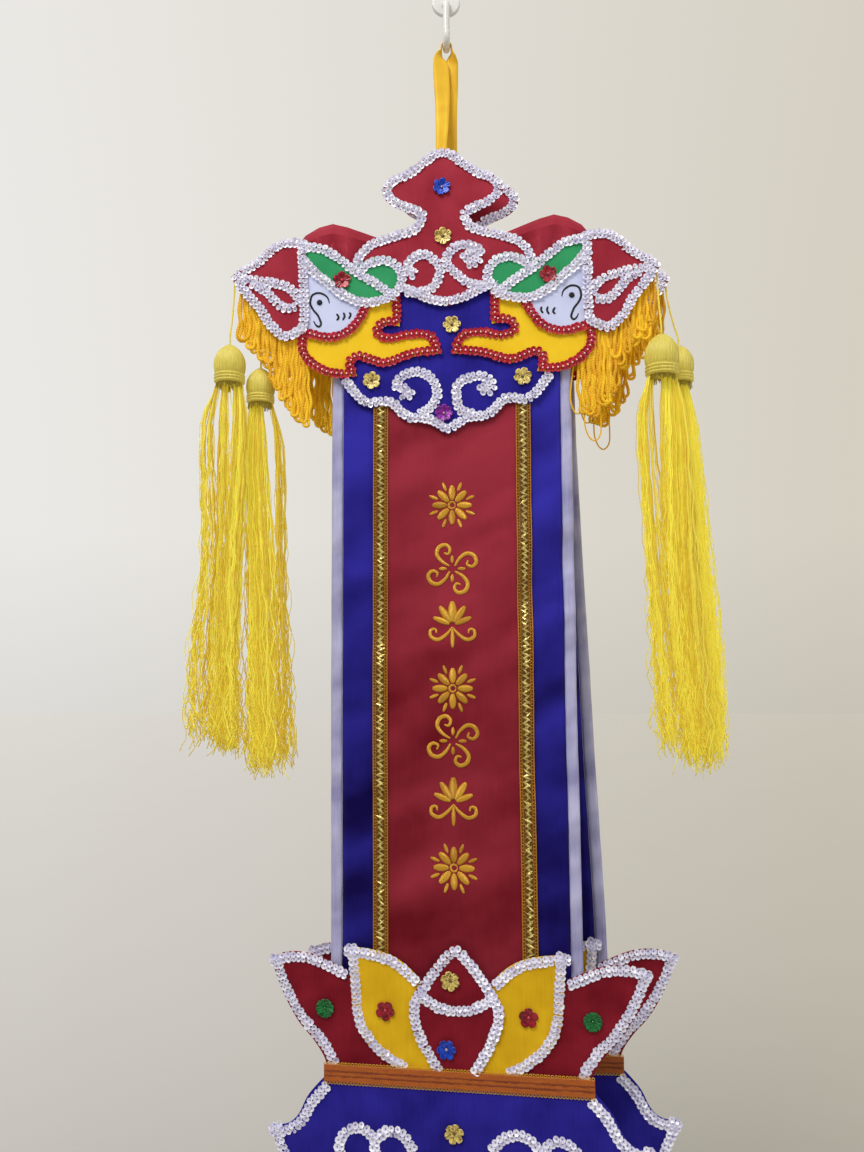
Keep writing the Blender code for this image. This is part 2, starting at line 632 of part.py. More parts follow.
def canopy(name, mirror, parent):
    """Satin folded over between the heads, down to the crest of the back one."""
    rise = (0.0, 0.5, 0.92)
    inner = []
    outer = []
    for across, ridge in CANOPY_RIDGE:
        seat = FRONT.head
        base = on_board(FRONT, seat, mirror * across, CANOPY_HEM, -GAP)
        crest = on_board(FRONT, seat, mirror * across, ridge, -GAP)
        near = base.y
        far = face_depth(BACK, base.x, base.z) - 4 * PITCH
        spine = (near + far) / 2
        out_row = []
        in_row = []
        for share in rise:
            y_front = near + (spine - near) * share * 0.8
            y_back = far + (spine - far) * share * 0.8
            z = base.z + (crest.z - base.z) * share
            x = base.x + (crest.x - base.x) * share
            out_row.append(((x, y_front, z), (x, y_back, z)))
            in_row.append(((x, y_front + CANOPY_THICK, z), (x, y_back - CANOPY_THICK, z)))
        front_out = [pair_[0] for pair_ in out_row]
        back_out = [pair_[1] for pair_ in reversed(out_row)]
        front_in = [pair_[0] for pair_ in in_row]
        back_in = [pair_[1] for pair_ in reversed(in_row)]
        top_out = [(crest.x, spine, crest.z)]
        top_in = [(crest.x, spine, crest.z - 1.6 * CANOPY_THICK)]
        outer.append(front_out + top_out + back_out)
        inner.append(front_in + top_in + back_in)
    publish(slab(inner, outer), name, RED, parent)


def main():
    """Build every piece of the banner and its hook."""
    clear_scene()
    whole = guide("banner_on_hook")
    hook_plate(whole)
    hook_arm(whole)
    hanging_loop(whole)
    for side in (FRONT, BACK):
        group = guide(f"{side.name}_face_group", whole)
        head(side, group)
        body(side, group)
        lotus(side, group)
        fringe(f"{side.name}_fringe_right", side, 1, group)
        fringe(f"{side.name}_fringe_left", side, -1, group)
    canopy("canopy_right", 1, whole)
    canopy("canopy_left", -1, whole)
    for row in TASSELS:
        tassel(row, whole)


main()
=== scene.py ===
"""Looks of a Buddhist temple banner that hangs by a ribbon loop from a wall hook.

Frame: +Z is up, the wall is the plane y = 0 and the room is on its -Y side. The
origin is the centre of the hook plate's flat back. Sizes are in millimetres
until a mesh is put down, which is in metres. A place on a board or on the
cloth is across, up and depth, and depth is counted out to the room.
"""

import logging
import math
from dataclasses import dataclass, field
from enum import Enum
from typing import Callable, ClassVar, Sequence

import bpy
import numpy as np
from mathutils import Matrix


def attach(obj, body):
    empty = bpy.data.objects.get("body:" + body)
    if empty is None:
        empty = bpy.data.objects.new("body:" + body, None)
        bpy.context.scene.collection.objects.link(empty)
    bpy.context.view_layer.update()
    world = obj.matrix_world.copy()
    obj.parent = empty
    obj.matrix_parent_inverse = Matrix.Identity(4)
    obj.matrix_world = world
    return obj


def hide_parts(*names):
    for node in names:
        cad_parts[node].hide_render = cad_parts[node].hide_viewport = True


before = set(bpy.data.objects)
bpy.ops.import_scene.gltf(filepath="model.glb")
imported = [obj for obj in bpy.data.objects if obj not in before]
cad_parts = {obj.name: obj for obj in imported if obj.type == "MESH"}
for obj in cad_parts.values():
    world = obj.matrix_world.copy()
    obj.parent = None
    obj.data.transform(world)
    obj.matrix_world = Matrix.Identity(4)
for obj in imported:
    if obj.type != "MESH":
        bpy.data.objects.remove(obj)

Array = np.ndarray
Placer = Callable[[Array], Array]
Socket = bpy.types.NodeSocket
Pair = tuple[float, float]
Triple = tuple[float, float, float]
MM = 0.001
GAP = 0.3
LAYER = 1.2
PITCH = LAYER + GAP
OUT = (0, 0, 1)
TO_WALL = (0, 1, 0)
TO_RIGHT = (1, 0, 0)
log = logging.getLogger("banner")


# --- Colours and node maths


class DyeAndShade(Enum):
    """Colours of the cloths, threads and sequins, as seen, from 0 to 255.

    The deep tone of a colour has its name and _DEEP. The finishes mix towards it to paint shade, sheen and
    sparkle, and in a few finishes it is the thing's own darker colour, such as the ribbon's woven lines.
    """

    HEAD_RED = (170, 53, 68)
    HEAD_RED_DEEP = (138, 33, 47)
    PETAL_RED = (146, 36, 50)
    PETAL_RED_DEEP = (98, 17, 29)
    BODY_RED = (160, 52, 66)
    BODY_RED_DEEP = (108, 22, 33)
    BLUE = (52, 46, 162)
    BLUE_DEEP = (32, 26, 114)
    BODY_BLUE = (56, 51, 170)
    BODY_BLUE_DEEP = (20, 13, 70)
    YELLOW = (255, 214, 50)
    YELLOW_DEEP = (242, 190, 30)
    LOTUS_YELLOW = (246, 198, 40)
    LOTUS_YELLOW_DEEP = (208, 158, 24)
    GREEN = (62, 163, 106)
    GREEN_DEEP = (44, 138, 86)
    WHITE = (218, 224, 254)
    WHITE_DEEP = (202, 208, 242)
    LAVENDER = (196, 194, 228)
    LAVENDER_DEEP = (146, 144, 188)
    LOOP = (255, 212, 68)
    LOOP_DEEP = (214, 152, 40)
    ORANGE = (198, 102, 18)
    ORANGE_DEEP = (118, 44, 8)
    GLINT = (255, 238, 140)
    GLINT_DEEP = (112, 70, 6)
    GOLD = (212, 146, 28)
    GOLD_DEEP = (120, 72, 6)
    STITCH = (228, 172, 44)
    STITCH_DEEP = (176, 116, 18)
    FRINGE = (255, 208, 24)
    FRINGE_DEEP = (208, 136, 6)
    TASSEL = (255, 246, 92)
    TASSEL_DEEP = (200, 152, 12)
    CLEAR = (255, 255, 255)
    CLEAR_DEEP = (164, 156, 204)
    RUBY = (208, 24, 52)
    RUBY_DEEP = (128, 8, 28)
    PEARL = (255, 214, 216)
    PEARL_DEEP = (252, 206, 214)
    PEARL_GOLD = (255, 230, 132)
    PEARL_GOLD_DEEP = (120, 88, 24)
    SAPPHIRE = (10, 84, 224)
    SAPPHIRE_DEEP = (2, 16, 120)
    CRIMSON = (182, 22, 42)
    CRIMSON_DEEP = (84, 8, 26)
    LEAF = (20, 140, 62)
    LEAF_DEEP = (2, 44, 18)
    MAGENTA = (160, 0, 176)
    MAGENTA_DEEP = (60, 0, 80)
    INK = (6, 6, 8)
    INK_SOFT = (14, 13, 17)
    PLASTIC = (232, 231, 226)
    PLASTIC_DEEP = (216, 214, 208)
    BRAID_BED = (132, 84, 12)
    BRAID_BED_DEEP = (70, 40, 4)
    HEAD_WINDING = (250, 232, 106)
    HEAD_WINDING_DEEP = (148, 126, 24)
    WALL_COOL = (235, 233, 229)
    WALL_WARM = (213, 207, 194)
    FLOOR_COOL = (227, 221, 215)
    FLOOR_WARM = (210, 204, 189)

    def light(self, share: float = 1.0) -> tuple[float, float, float, float]:
        """Linear values of the colour.

        Args:
            share: brightness to multiply by.

        Returns:
            Red, green, blue and one.
        """
        levels = [value / 255 for value in self.value]
        linear = [v / 12.92 if v <= 0.04045 else ((v + 0.055) / 1.055) ** 2.4 for v in levels]
        return (*(min(v * share, 1.0) for v in linear), 1.0)

    def own_deep(self) -> "DyeAndShade":
        """The colour's deep tone."""
        return DyeAndShade[self.name + "_DEEP"]


class Reading:
    """Number that nodes work out. Arithmetic on it adds Math nodes."""

    def __init__(self, bench: "Bench", socket: Socket) -> None:
        """Wrap a socket that gives a number."""
        self.bench = bench
        self.socket = socket

    def apply(self, operation: str, *others: "Reading | float", clamp: bool = False) -> "Reading":
        """Add one Math node.

        Args:
            operation: the node's operation.
            others: its further values.
            clamp: whether the result is kept from 0 to 1.

        Returns:
            The node's result.
        """
        settings = {"operation": operation, "use_clamp": clamp}
        node = self.bench.node("ShaderNodeMath", settings, dict(enumerate((self, *others))))
        return Reading(self.bench, node.outputs[0])

    def __add__(self, other: "Reading | float") -> "Reading":
        """Sum."""
        return self.apply("ADD", other)

    def __sub__(self, other: "Reading | float") -> "Reading":
        """Difference."""
        return self.apply("SUBTRACT", other)

    def __rsub__(self, other: float) -> "Reading":
        """Difference with a number on the left."""
        return self.apply("MULTIPLY_ADD", -1.0, other)

    def __mul__(self, other: "Reading | float") -> "Reading":
        """Product."""
        return self.apply("MULTIPLY", other)

    __radd__ = __add__
    __rmul__ = __mul__

    def wave(self, length: float) -> "Reading":
        """Sine of the number from 0 to 1, that repeats after a length."""
        return self.apply("MULTIPLY", math.tau / length).apply("SINE") * 0.5 + 0.5

    def kept(self) -> "Reading":
        """The number kept from 0 to 1."""
        return self.apply("ADD", 0.0, clamp=True)

    def near(self, place: float, reach: float) -> "Reading":
        """One at a place, falling straight to zero at a reach from it."""
        return (1.0 - (self - place).apply("ABSOLUTE") * (1.0 / reach)).kept()


class Bench:
    """Node tree of a material or world, with the helpers that fill it."""

    def __init__(self, holder: bpy.types.ID) -> None:
        """Start with the nodes of a new material or world."""
        holder.use_nodes = True
        self.holder = holder
        self.tree = holder.node_tree

    def node(self, kind: str, settings: dict | None = None, values: dict | None = None) -> bpy.types.Node:
        """Add a node.

        Args:
            kind: the node's type.
            settings: its own settings, set first.
            values: what its inputs take, a number, colour, socket or Reading.

        Returns:
            The node.
        """
        made = self.tree.nodes.new(kind)
        for key, value in (settings or {}).items():
            setattr(made, key, value)
        self.feed(made, values or {})
        return made

    def feed(self, node: bpy.types.Node, values: dict) -> None:
        """Set or link a node's inputs."""
        for key, value in values.items():
            value = getattr(value, "socket", value)
            if isinstance(value, Socket):
                self.tree.links.new(value, node.inputs[key])
            else:
                node.inputs[key].default_value = value

    def weave(self) -> Socket:
        """The piece's own places, in millimetres."""
        return self.node("ShaderNodeAttribute", {"attribute_name": "weave"}).outputs["Vector"]

    def tone(self) -> Reading:
        """A number from 0 to 1 kept for each facet of a piece."""
        return Reading(self, self.node("ShaderNodeAttribute", {"attribute_name": "tone"}).outputs["Fac"])

    def split(self, place: Socket) -> tuple[Reading, Reading, Reading]:
        """The three numbers of a place."""
        node = self.node("ShaderNodeSeparateXYZ", values={0: place})
        return tuple(Reading(self, output) for output in node.outputs)

    def stretch(self, place: Socket, scale: Triple) -> Socket:
        """A place multiplied by three numbers."""
        return self.node("ShaderNodeVectorMath", {"operation": "MULTIPLY"}, {0: place, 1: scale}).outputs[0]

    def noise(self, place: Socket, scale: float, detail: float) -> Reading:
        """Soft noise from 0 to 1 about a half."""
        values = {"Vector": place, "Scale": scale, "Detail": detail, "Roughness": 0.55}
        return Reading(self, self.node("ShaderNodeTexNoise", values=values).outputs[0])

    def mix(self, share: Reading, low: object, high: object) -> Socket:
        """Colour between two, by a share from 0 to 1."""
        values = {0: share, 6: low, 7: high}
        return self.node("ShaderNodeMix", {"data_type": "RGBA"}, values).outputs[2]

    def patches(self, place: Socket, size: Triple, detail: float, broad: float = 1.0) -> Reading:
        """Soft noise in patches of a size.

        Args:
            place: where the noise is read.
            size: width, height and depth of a patch in millimetres.
            detail: how many finer noises lie on it.
            broad: number that the size is multiplied by.

        Returns:
            The noise, from 0 to 1 about a half.
        """
        return self.noise(self.stretch(place, tuple(1 / side for side in size)), 1.0 / broad, detail)

    def bump(self, height: Reading, strength: float, deep: float, below: Socket | None = None) -> Socket:
        """Normal of a relief.

        Args:
            height: the relief, from 0 to 1.
            strength: share of it that shows.
            deep: its depth in millimetres.
            below: normal of a relief under this one.

        Returns:
            The normal.
        """
        values = {"Height": height, "Strength": strength, "Distance": deep * MM}
        if below is not None:
            values["Normal"] = below
        return self.node("ShaderNodeBump", values=values).outputs[0]

    def dress(self, values: dict) -> bpy.types.Material:
        """Feed the shader and give the material."""
        self.feed(self.tree.nodes["Principled BSDF"], values)
        return self.holder


# --- Finishes


@dataclass(frozen=True)
class Finish:
    """A finish whose material is made once and shared by its pieces.

    It mixes a bright colour with a deep one, which is the bright one's own deep tone unless given; most
    finishes paint shade and sheen with the deep one.
    """

    made: ClassVar[dict[str, bpy.types.Material]] = {}
    name: str
    bright: DyeAndShade
    deep: DyeAndShade | None = None

    def material(self) -> bpy.types.Material:
        """The finish's material."""
        name = type(self).__name__.lower() + "_" + self.name
        if name not in Finish.made:
            Finish.made[name] = self.mix_up(Bench(bpy.data.materials.new(name)))
        return Finish.made[name]

    def colour(self, bench: Bench, share: Reading) -> Socket:
        """Colour between the deep tone, used for painted shade, and the bright one."""
        deep = self.deep or self.bright.own_deep()
        return bench.mix(share, deep.light(), self.bright.light())

    def mix_up(self, bench: Bench) -> bpy.types.Material:
        """Fill the bench with the finish's nodes."""
        raise NotImplementedError


@dataclass(frozen=True)
class Satin(Finish):
    """Satin with its floats running up the piece, broad puckers and sheen.

    Streaks, pucker and fold are how far each shows. The streaks are painted sheen along the
    threads, the folds are painted shade and sheen over a relief, and the pucker is relief only.
    The folds are widened by broad and turned by slant, and lean paints light on the cloth,
    brightening it upwards from a height.
    """

    rough: float = 0.5
    sheen: float = 0.12
    sheen_streak: float = 0.45
    pucker: float = 0.3
    fold: float = 0.0
    broad: float = 1.0
    lean: float = 0.0
    slant: float = -0.45
    lean_from: float = -700.0

    def mix_up(self, bench: Bench) -> bpy.types.Material:
        """Painted sheen in streaks along the threads, painted shade and sheen in a broad cloudiness and
        slanting folds, painted light brighter upwards, and a fine weave relief.
        """
        place = bench.weave()
        across, up, _ = bench.split(place)
        cloud = bench.patches(place, size=(34, 34, 34), detail=2.0)
        sheen_streak = bench.patches(place, size=(1.3, 30, 1), detail=3.0)
        pucker = bench.patches(place, size=(9, 13, 1), detail=1.0)
        weave = across.wave(length=0.8) * (up + across * 2.5).wave(length=3.2)
        turn = {"Vector": place, "Angle": self.slant}
        turned = bench.node("ShaderNodeVectorRotate", {"rotation_type": "Z_AXIS"}, turn).outputs[0]
        fold = bench.patches(turned, size=(95, 34, 60), detail=1.5, broad=self.broad)
        # The share paints light and shade: the cloud, the streaks and the folds darken and brighten the
        # colour, and lean paints it brighter upwards.
        share = 0.55 + (cloud - 0.5) * (1.4 / self.broad ** 2) + (sheen_streak - 0.5) * self.sheen_streak
        share = share + (fold - 0.5) * self.fold + (up - self.lean_from) * self.lean
        colour = self.colour(bench, share.kept())
        relief = bench.bump(weave * 0.4 + sheen_streak * 0.3, strength=0.3, deep=0.1)
        relief = bench.bump(fold, strength=min(1.0, self.fold * 0.35), deep=7.0, below=relief)
        relief = bench.bump(pucker, strength=self.pucker, deep=0.9, below=relief)
        return bench.dress({
            "Base Color": colour, "Roughness": self.rough + (sheen_streak - 0.5) * 0.2, "Normal": relief,
            "Sheen Weight": self.sheen, "Sheen Roughness": 0.35, "Sheen Tint": self.bright.light(),
            "Specular IOR Level": 0.3, "Specular Tint": self.bright.light(2.2),
        })


@dataclass(frozen=True)
class Sequins(Finish):
    """Moulded sequins whose facets each carry a painted tone, as painted sparkle, and whose colour can be
    given out as a painted glow.
    """

    rough: float = 0.16
    metal: float = 0.0
    coat: float = 0.6
    glow: float = 0.0
    shine: float = 0.7

    def mix_up(self, bench: Bench) -> bpy.types.Material:
        """A painted tone for each facet as painted sparkle, and faint moulding marks."""
        tone = bench.tone()
        mould = bench.noise(bench.weave(), scale=0.9, detail=2.0)
        share = (tone + (mould - 0.5) * 0.5).kept()
        colour = self.colour(bench, share)
        # The emission is a painted glow: the colour given out at the strength glow.
        return bench.dress({
            "Base Color": colour, "Emission Color": colour, "Roughness": self.rough + mould * 0.2,
            "Normal": bench.bump(mould, strength=0.25, deep=0.15), "Metallic": self.metal,
            "Coat Weight": self.coat, "Coat Roughness": 0.08, "Specular IOR Level": self.shine,
            "Emission Strength": self.glow,
        })


@dataclass(frozen=True)
class Yarn(Finish):
    """Twisted thread or yarn. Its places are along it, round it and a chance number."""

    ply: float = 2.4
    rough: float = 0.6
    metal: float = 0.0
    twist: float = 2.0
    relief: float = 0.6
    sheen: float = 0.2
    glow: float = 0.0

    def mix_up(self, bench: Bench) -> bpy.types.Material:
        """Plies that wind round the thread, painted darker between them as painted shade, with each thread a
        little lighter or darker; glow gives out the colour as a painted glow that stands in for light through
        the fibres.
        """
        place = bench.weave()
        along, turn, chance = bench.split(place)
        plies = (along + turn * (self.ply * self.twist)).wave(self.ply)
        fuzz = bench.noise(bench.stretch(place, (0.9, 6.0, 40.0)), scale=1.0, detail=3.0)
        share = (0.15 + plies * 0.55 + (fuzz - 0.5) * 0.7 + (chance - 0.5) * 0.6 + 0.2).kept()
        colour = self.colour(bench, share)
        return bench.dress({
            "Base Color": colour, "Emission Color": colour, "Roughness": self.rough + (fuzz - 0.5) * 0.3,
            "Normal": bench.bump(plies * 0.8 + fuzz * 0.4, strength=self.relief, deep=0.35),
            "Metallic": self.metal, "Sheen Weight": self.sheen, "Sheen Roughness": 0.4,
            "Sheen Tint": self.bright.light(), "Emission Strength": self.glow,
        })


@dataclass(frozen=True)
class Ribbon(Finish):
    """Woven ribbon with ribs up its width and darker lines woven at heights on it."""

    lines: tuple[float, ...] = ()
    rib: float = 0.9
    rough: float = 0.55
    metal: float = 0.0
    sheen: float = 0.3
    line_half: float = 1.3

    def mix_up(self, bench: Bench) -> bpy.types.Material:
        """Ribs run up the ribbon's width, and wandering lines lie at heights on it."""
        place = bench.weave()
        across, up, _ = bench.split(place)
        rib = across.wave(self.rib)
        fleck = bench.noise(bench.stretch(place, (1.2, 0.5, 1.0)), scale=1.0, detail=3.0)
        # The ribs are painted lighter and darker across as painted shade; the flecks vary at random.
        share = (0.45 + rib * 0.3 + (fleck - 0.5) * 0.9).kept()
        wander = bench.noise(bench.stretch(place, (0.12, 0.6, 1.0)), scale=1.0, detail=2.0)
        dark = (wander - 0.5) * 0.9
        for line in self.lines:
            dark = dark + (up + (wander - 0.5) * 3.0).near(line, self.line_half)
        colour = self.colour(bench, (share + 0.1 - dark * 0.8).kept())
        relief = bench.bump(rib * 0.6 + fleck * 0.4, strength=0.5, deep=0.25)
        return bench.dress({
            "Base Color": colour, "Roughness": self.rough + (fleck - 0.5) * 0.25, "Normal": relief,
            "Metallic": self.metal, "Sheen Weight": self.sheen, "Sheen Roughness": 0.4,
        })


@dataclass(frozen=True)
class Moulding(Finish):
    """Smooth moulded plastic with a faint grain, scuffed a little."""

    rough: float = 0.3

    def mix_up(self, bench: Bench) -> bpy.types.Material:
        """Faint cloudiness and a fine grain."""
        place = bench.weave()
        cloud = bench.noise(place, scale=0.12, detail=2.0)
        grain = bench.noise(place, scale=2.2, detail=3.0)
        return bench.dress({
            "Base Color": self.colour(bench, (cloud * 1.2).kept()), "Roughness": self.rough + cloud * 0.15,
            "Normal": bench.bump(grain, strength=0.15, deep=0.08), "Coat Weight": 0.25,
            "Coat Roughness": 0.15,
        })


@dataclass(frozen=True)
class Ground(Finish):
    """Pale studio floor that is lit up into the distance until it meets the wall's colour."""

    share: float = 0.62
    middle: float = -900.0
    nearest: float = 1300.0
    glow: float = 0.597
    fade: float = 710.0

    def mix_up(self, bench: Bench) -> bpy.types.Material:
        """Base that warms to the right, and a glow less the fade over the distance from the middle."""
        place = bench.weave()
        across, deep, _ = bench.split(place)
        deep = deep - self.middle
        away = (across * across + deep * deep).apply("SQRT").apply("MAXIMUM", self.nearest)
        side = (across.apply("DIVIDE", away) * 1.2 + 0.5).kept()
        glow = (away.apply("POWER", -1.0) * -self.fade + self.glow).kept()
        cloud = bench.noise(place, scale=0.004, detail=3.0)
        grain = bench.noise(place, scale=0.3, detail=3.0)
        tint = (side + (cloud - 0.5) * 0.2).kept()
        wall = bench.mix(side, DyeAndShade.WALL_COOL.light(), DyeAndShade.WALL_WARM.light())
        return bench.dress({
            "Base Color": bench.mix(tint, self.bright.light(self.share), self.deep.light(self.share)),
            "Emission Color": bench.mix(glow, (0.0, 0.0, 0.0, 1.0), wall), "Emission Strength": 1.0,
            "Roughness": 0.8 + cloud * 0.15, "Normal": bench.bump(grain, strength=0.1, deep=0.3),
            "Specular IOR Level": 0.2,
        })


# The satins paint shade and sheen into their colour through fold, streak and cloudiness, and lean paints the
# body brighter upwards; glow, where set, is a painted glow.
HEAD_RED = Satin("head_red", DyeAndShade.HEAD_RED, fold=0.5)
PETAL_RED = Satin("petal_red", DyeAndShade.PETAL_RED, fold=0.7)
BODY_RED = Satin("body_red", DyeAndShade.BODY_RED, rough=0.38, sheen_streak=0.25, fold=1.9, broad=1.6, lean=0.0014)
HEAD_BLUE = Satin("head_blue", DyeAndShade.BLUE, rough=0.42, fold=0.7)
BODY_BLUE = Satin("body_blue", DyeAndShade.BODY_BLUE, rough=0.34, sheen_streak=0.15, fold=2.0, broad=1.8, lean=0.0013)
YELLOW = Satin("yellow", DyeAndShade.YELLOW, fold=0.4)
LOTUS_YELLOW = Satin("lotus_yellow", DyeAndShade.LOTUS_YELLOW, fold=0.7)
GREEN = Satin("green", DyeAndShade.GREEN, fold=0.4)
WHITE = Satin("white", DyeAndShade.WHITE, fold=0.4)
LAVENDER = Satin("lavender", DyeAndShade.LAVENDER, rough=0.6, sheen_streak=0.7, pucker=0.8, fold=2.0)
LOOP = Satin("loop", DyeAndShade.LOOP, rough=0.38, pucker=0.2)
WAIST = Ribbon("waist", DyeAndShade.ORANGE, lines=(5.4, 9.6), sheen=0.05)
BRAID = Ribbon("braid", DyeAndShade.BRAID_BED, rib=1.6, rough=0.45, metal=0.3, sheen=0.0)
BRAID_CORD = Yarn("braid_cord", DyeAndShade.GOLD, ply=1.5, rough=0.5, metal=0.1, sheen=0.0)
BRAID_GLINT = Sequins("braid_glint", DyeAndShade.GLINT, rough=0.25, metal=0.6, coat=0.3, glow=0.08)
GOLD_STITCH = Yarn("gold_stitch", DyeAndShade.STITCH, ply=0.9, rough=0.36, metal=0.25, twist=0.0)
FRINGE_YARN = Yarn("fringe_yarn", DyeAndShade.FRINGE, ply=2.6, rough=0.7, sheen=0.1, glow=0.08)
TASSEL_YARN = Yarn("tassel_yarn", DyeAndShade.TASSEL, ply=1.2, rough=0.45, sheen=0.1, glow=0.3)
TASSEL_HEAD = Yarn("tassel_head", DyeAndShade.HEAD_WINDING, ply=0.9, rough=0.4, twist=0.0, glow=0.12)
TASSEL_CORD = Yarn("tassel_cord", DyeAndShade.TASSEL, ply=1.8, rough=0.5, glow=0.1)
PICOT = Yarn("picot", DyeAndShade.STITCH, DyeAndShade.ORANGE, ply=1.0, glow=0.15)
INK_LINE = Yarn("ink_line", DyeAndShade.INK_SOFT, DyeAndShade.INK, ply=1.0, rough=0.7, relief=0.3, sheen=0.0)
CLEAR = Sequins("clear", DyeAndShade.CLEAR, rough=0.16, coat=0.7, glow=0.14)
RUBY = Sequins("ruby", DyeAndShade.RUBY, rough=0.34, coat=0.05, glow=0.06, shine=0.3)
PEARL = Sequins("pearl", DyeAndShade.PEARL, glow=0.25)
PLASTIC = Moulding("white", DyeAndShade.PLASTIC)
FLOOR = Ground("floor", DyeAndShade.FLOOR_COOL, DyeAndShade.FLOOR_WARM)


# --- Surfaces


def unit(vectors: Array) -> Array:
    """Vectors made one long."""
    return vectors / np.maximum(np.linalg.norm(vectors, axis=-1, keepdims=True), 1e-9)


def turns(count: int) -> Array:
    """Angles of equal steps round a circle."""
    return np.arange(count) * math.tau / count


def join(*numbers: Array | float) -> Array:
    """Numbers of matching shapes, put side by side as the columns of one array."""
    return np.stack(np.broadcast_arrays(*numbers), -1)


def measured(path: Array) -> Array:
    """Distance of each place of a path from its start."""
    return np.concatenate(([0.0], np.cumsum(np.linalg.norm(np.diff(path, axis=0), axis=1))))


def grid_faces(rows: int, columns: int, wrap: bool = False) -> Array:
    """Quads of a grid of points, closed round its columns where wrap is set."""
    index = np.arange(rows * columns).reshape(rows, columns)
    left = index if wrap else index[:, :-1]
    right = np.roll(index, -1, 1) if wrap else index[:, 1:]
    return join(left[:-1], right[:-1], right[1:], left[1:]).reshape(-1, 4)


def loft_faces(rows: int, columns: int) -> list[Array]:
    """Faces of rings joined in a row, with a flat cap at each end."""
    cap = np.arange(columns)[None]
    return [grid_faces(rows, columns, True), cap[:, ::-1], cap + (rows - 1) * columns]


def ring_faces(rows: int, columns: int) -> list[Array]:
    """Faces of rings joined in a row, and the last ring to the first."""
    index = np.arange(rows * columns).reshape(rows, columns)
    right = np.roll(index, -1, 1)
    up = np.roll(index, -1, 0)
    return [join(index, right, np.roll(right, -1, 0), up).reshape(-1, 4)]


def slab_faces(rows: int, columns: int) -> list[Array]:
    """Faces of two equal grids, one over the other, walled at their rim."""
    many = rows * columns
    over = grid_faces(rows, columns)
    index = np.arange(many).reshape(rows, columns)
    rim = np.concatenate((index[0, :-1], index[:-1, -1], index[-1, :0:-1], index[:0:-1, 0]))
    after = np.roll(rim, -1)
    return [over, over[:, ::-1] + many, join(rim, rim + many, after + many, after)]


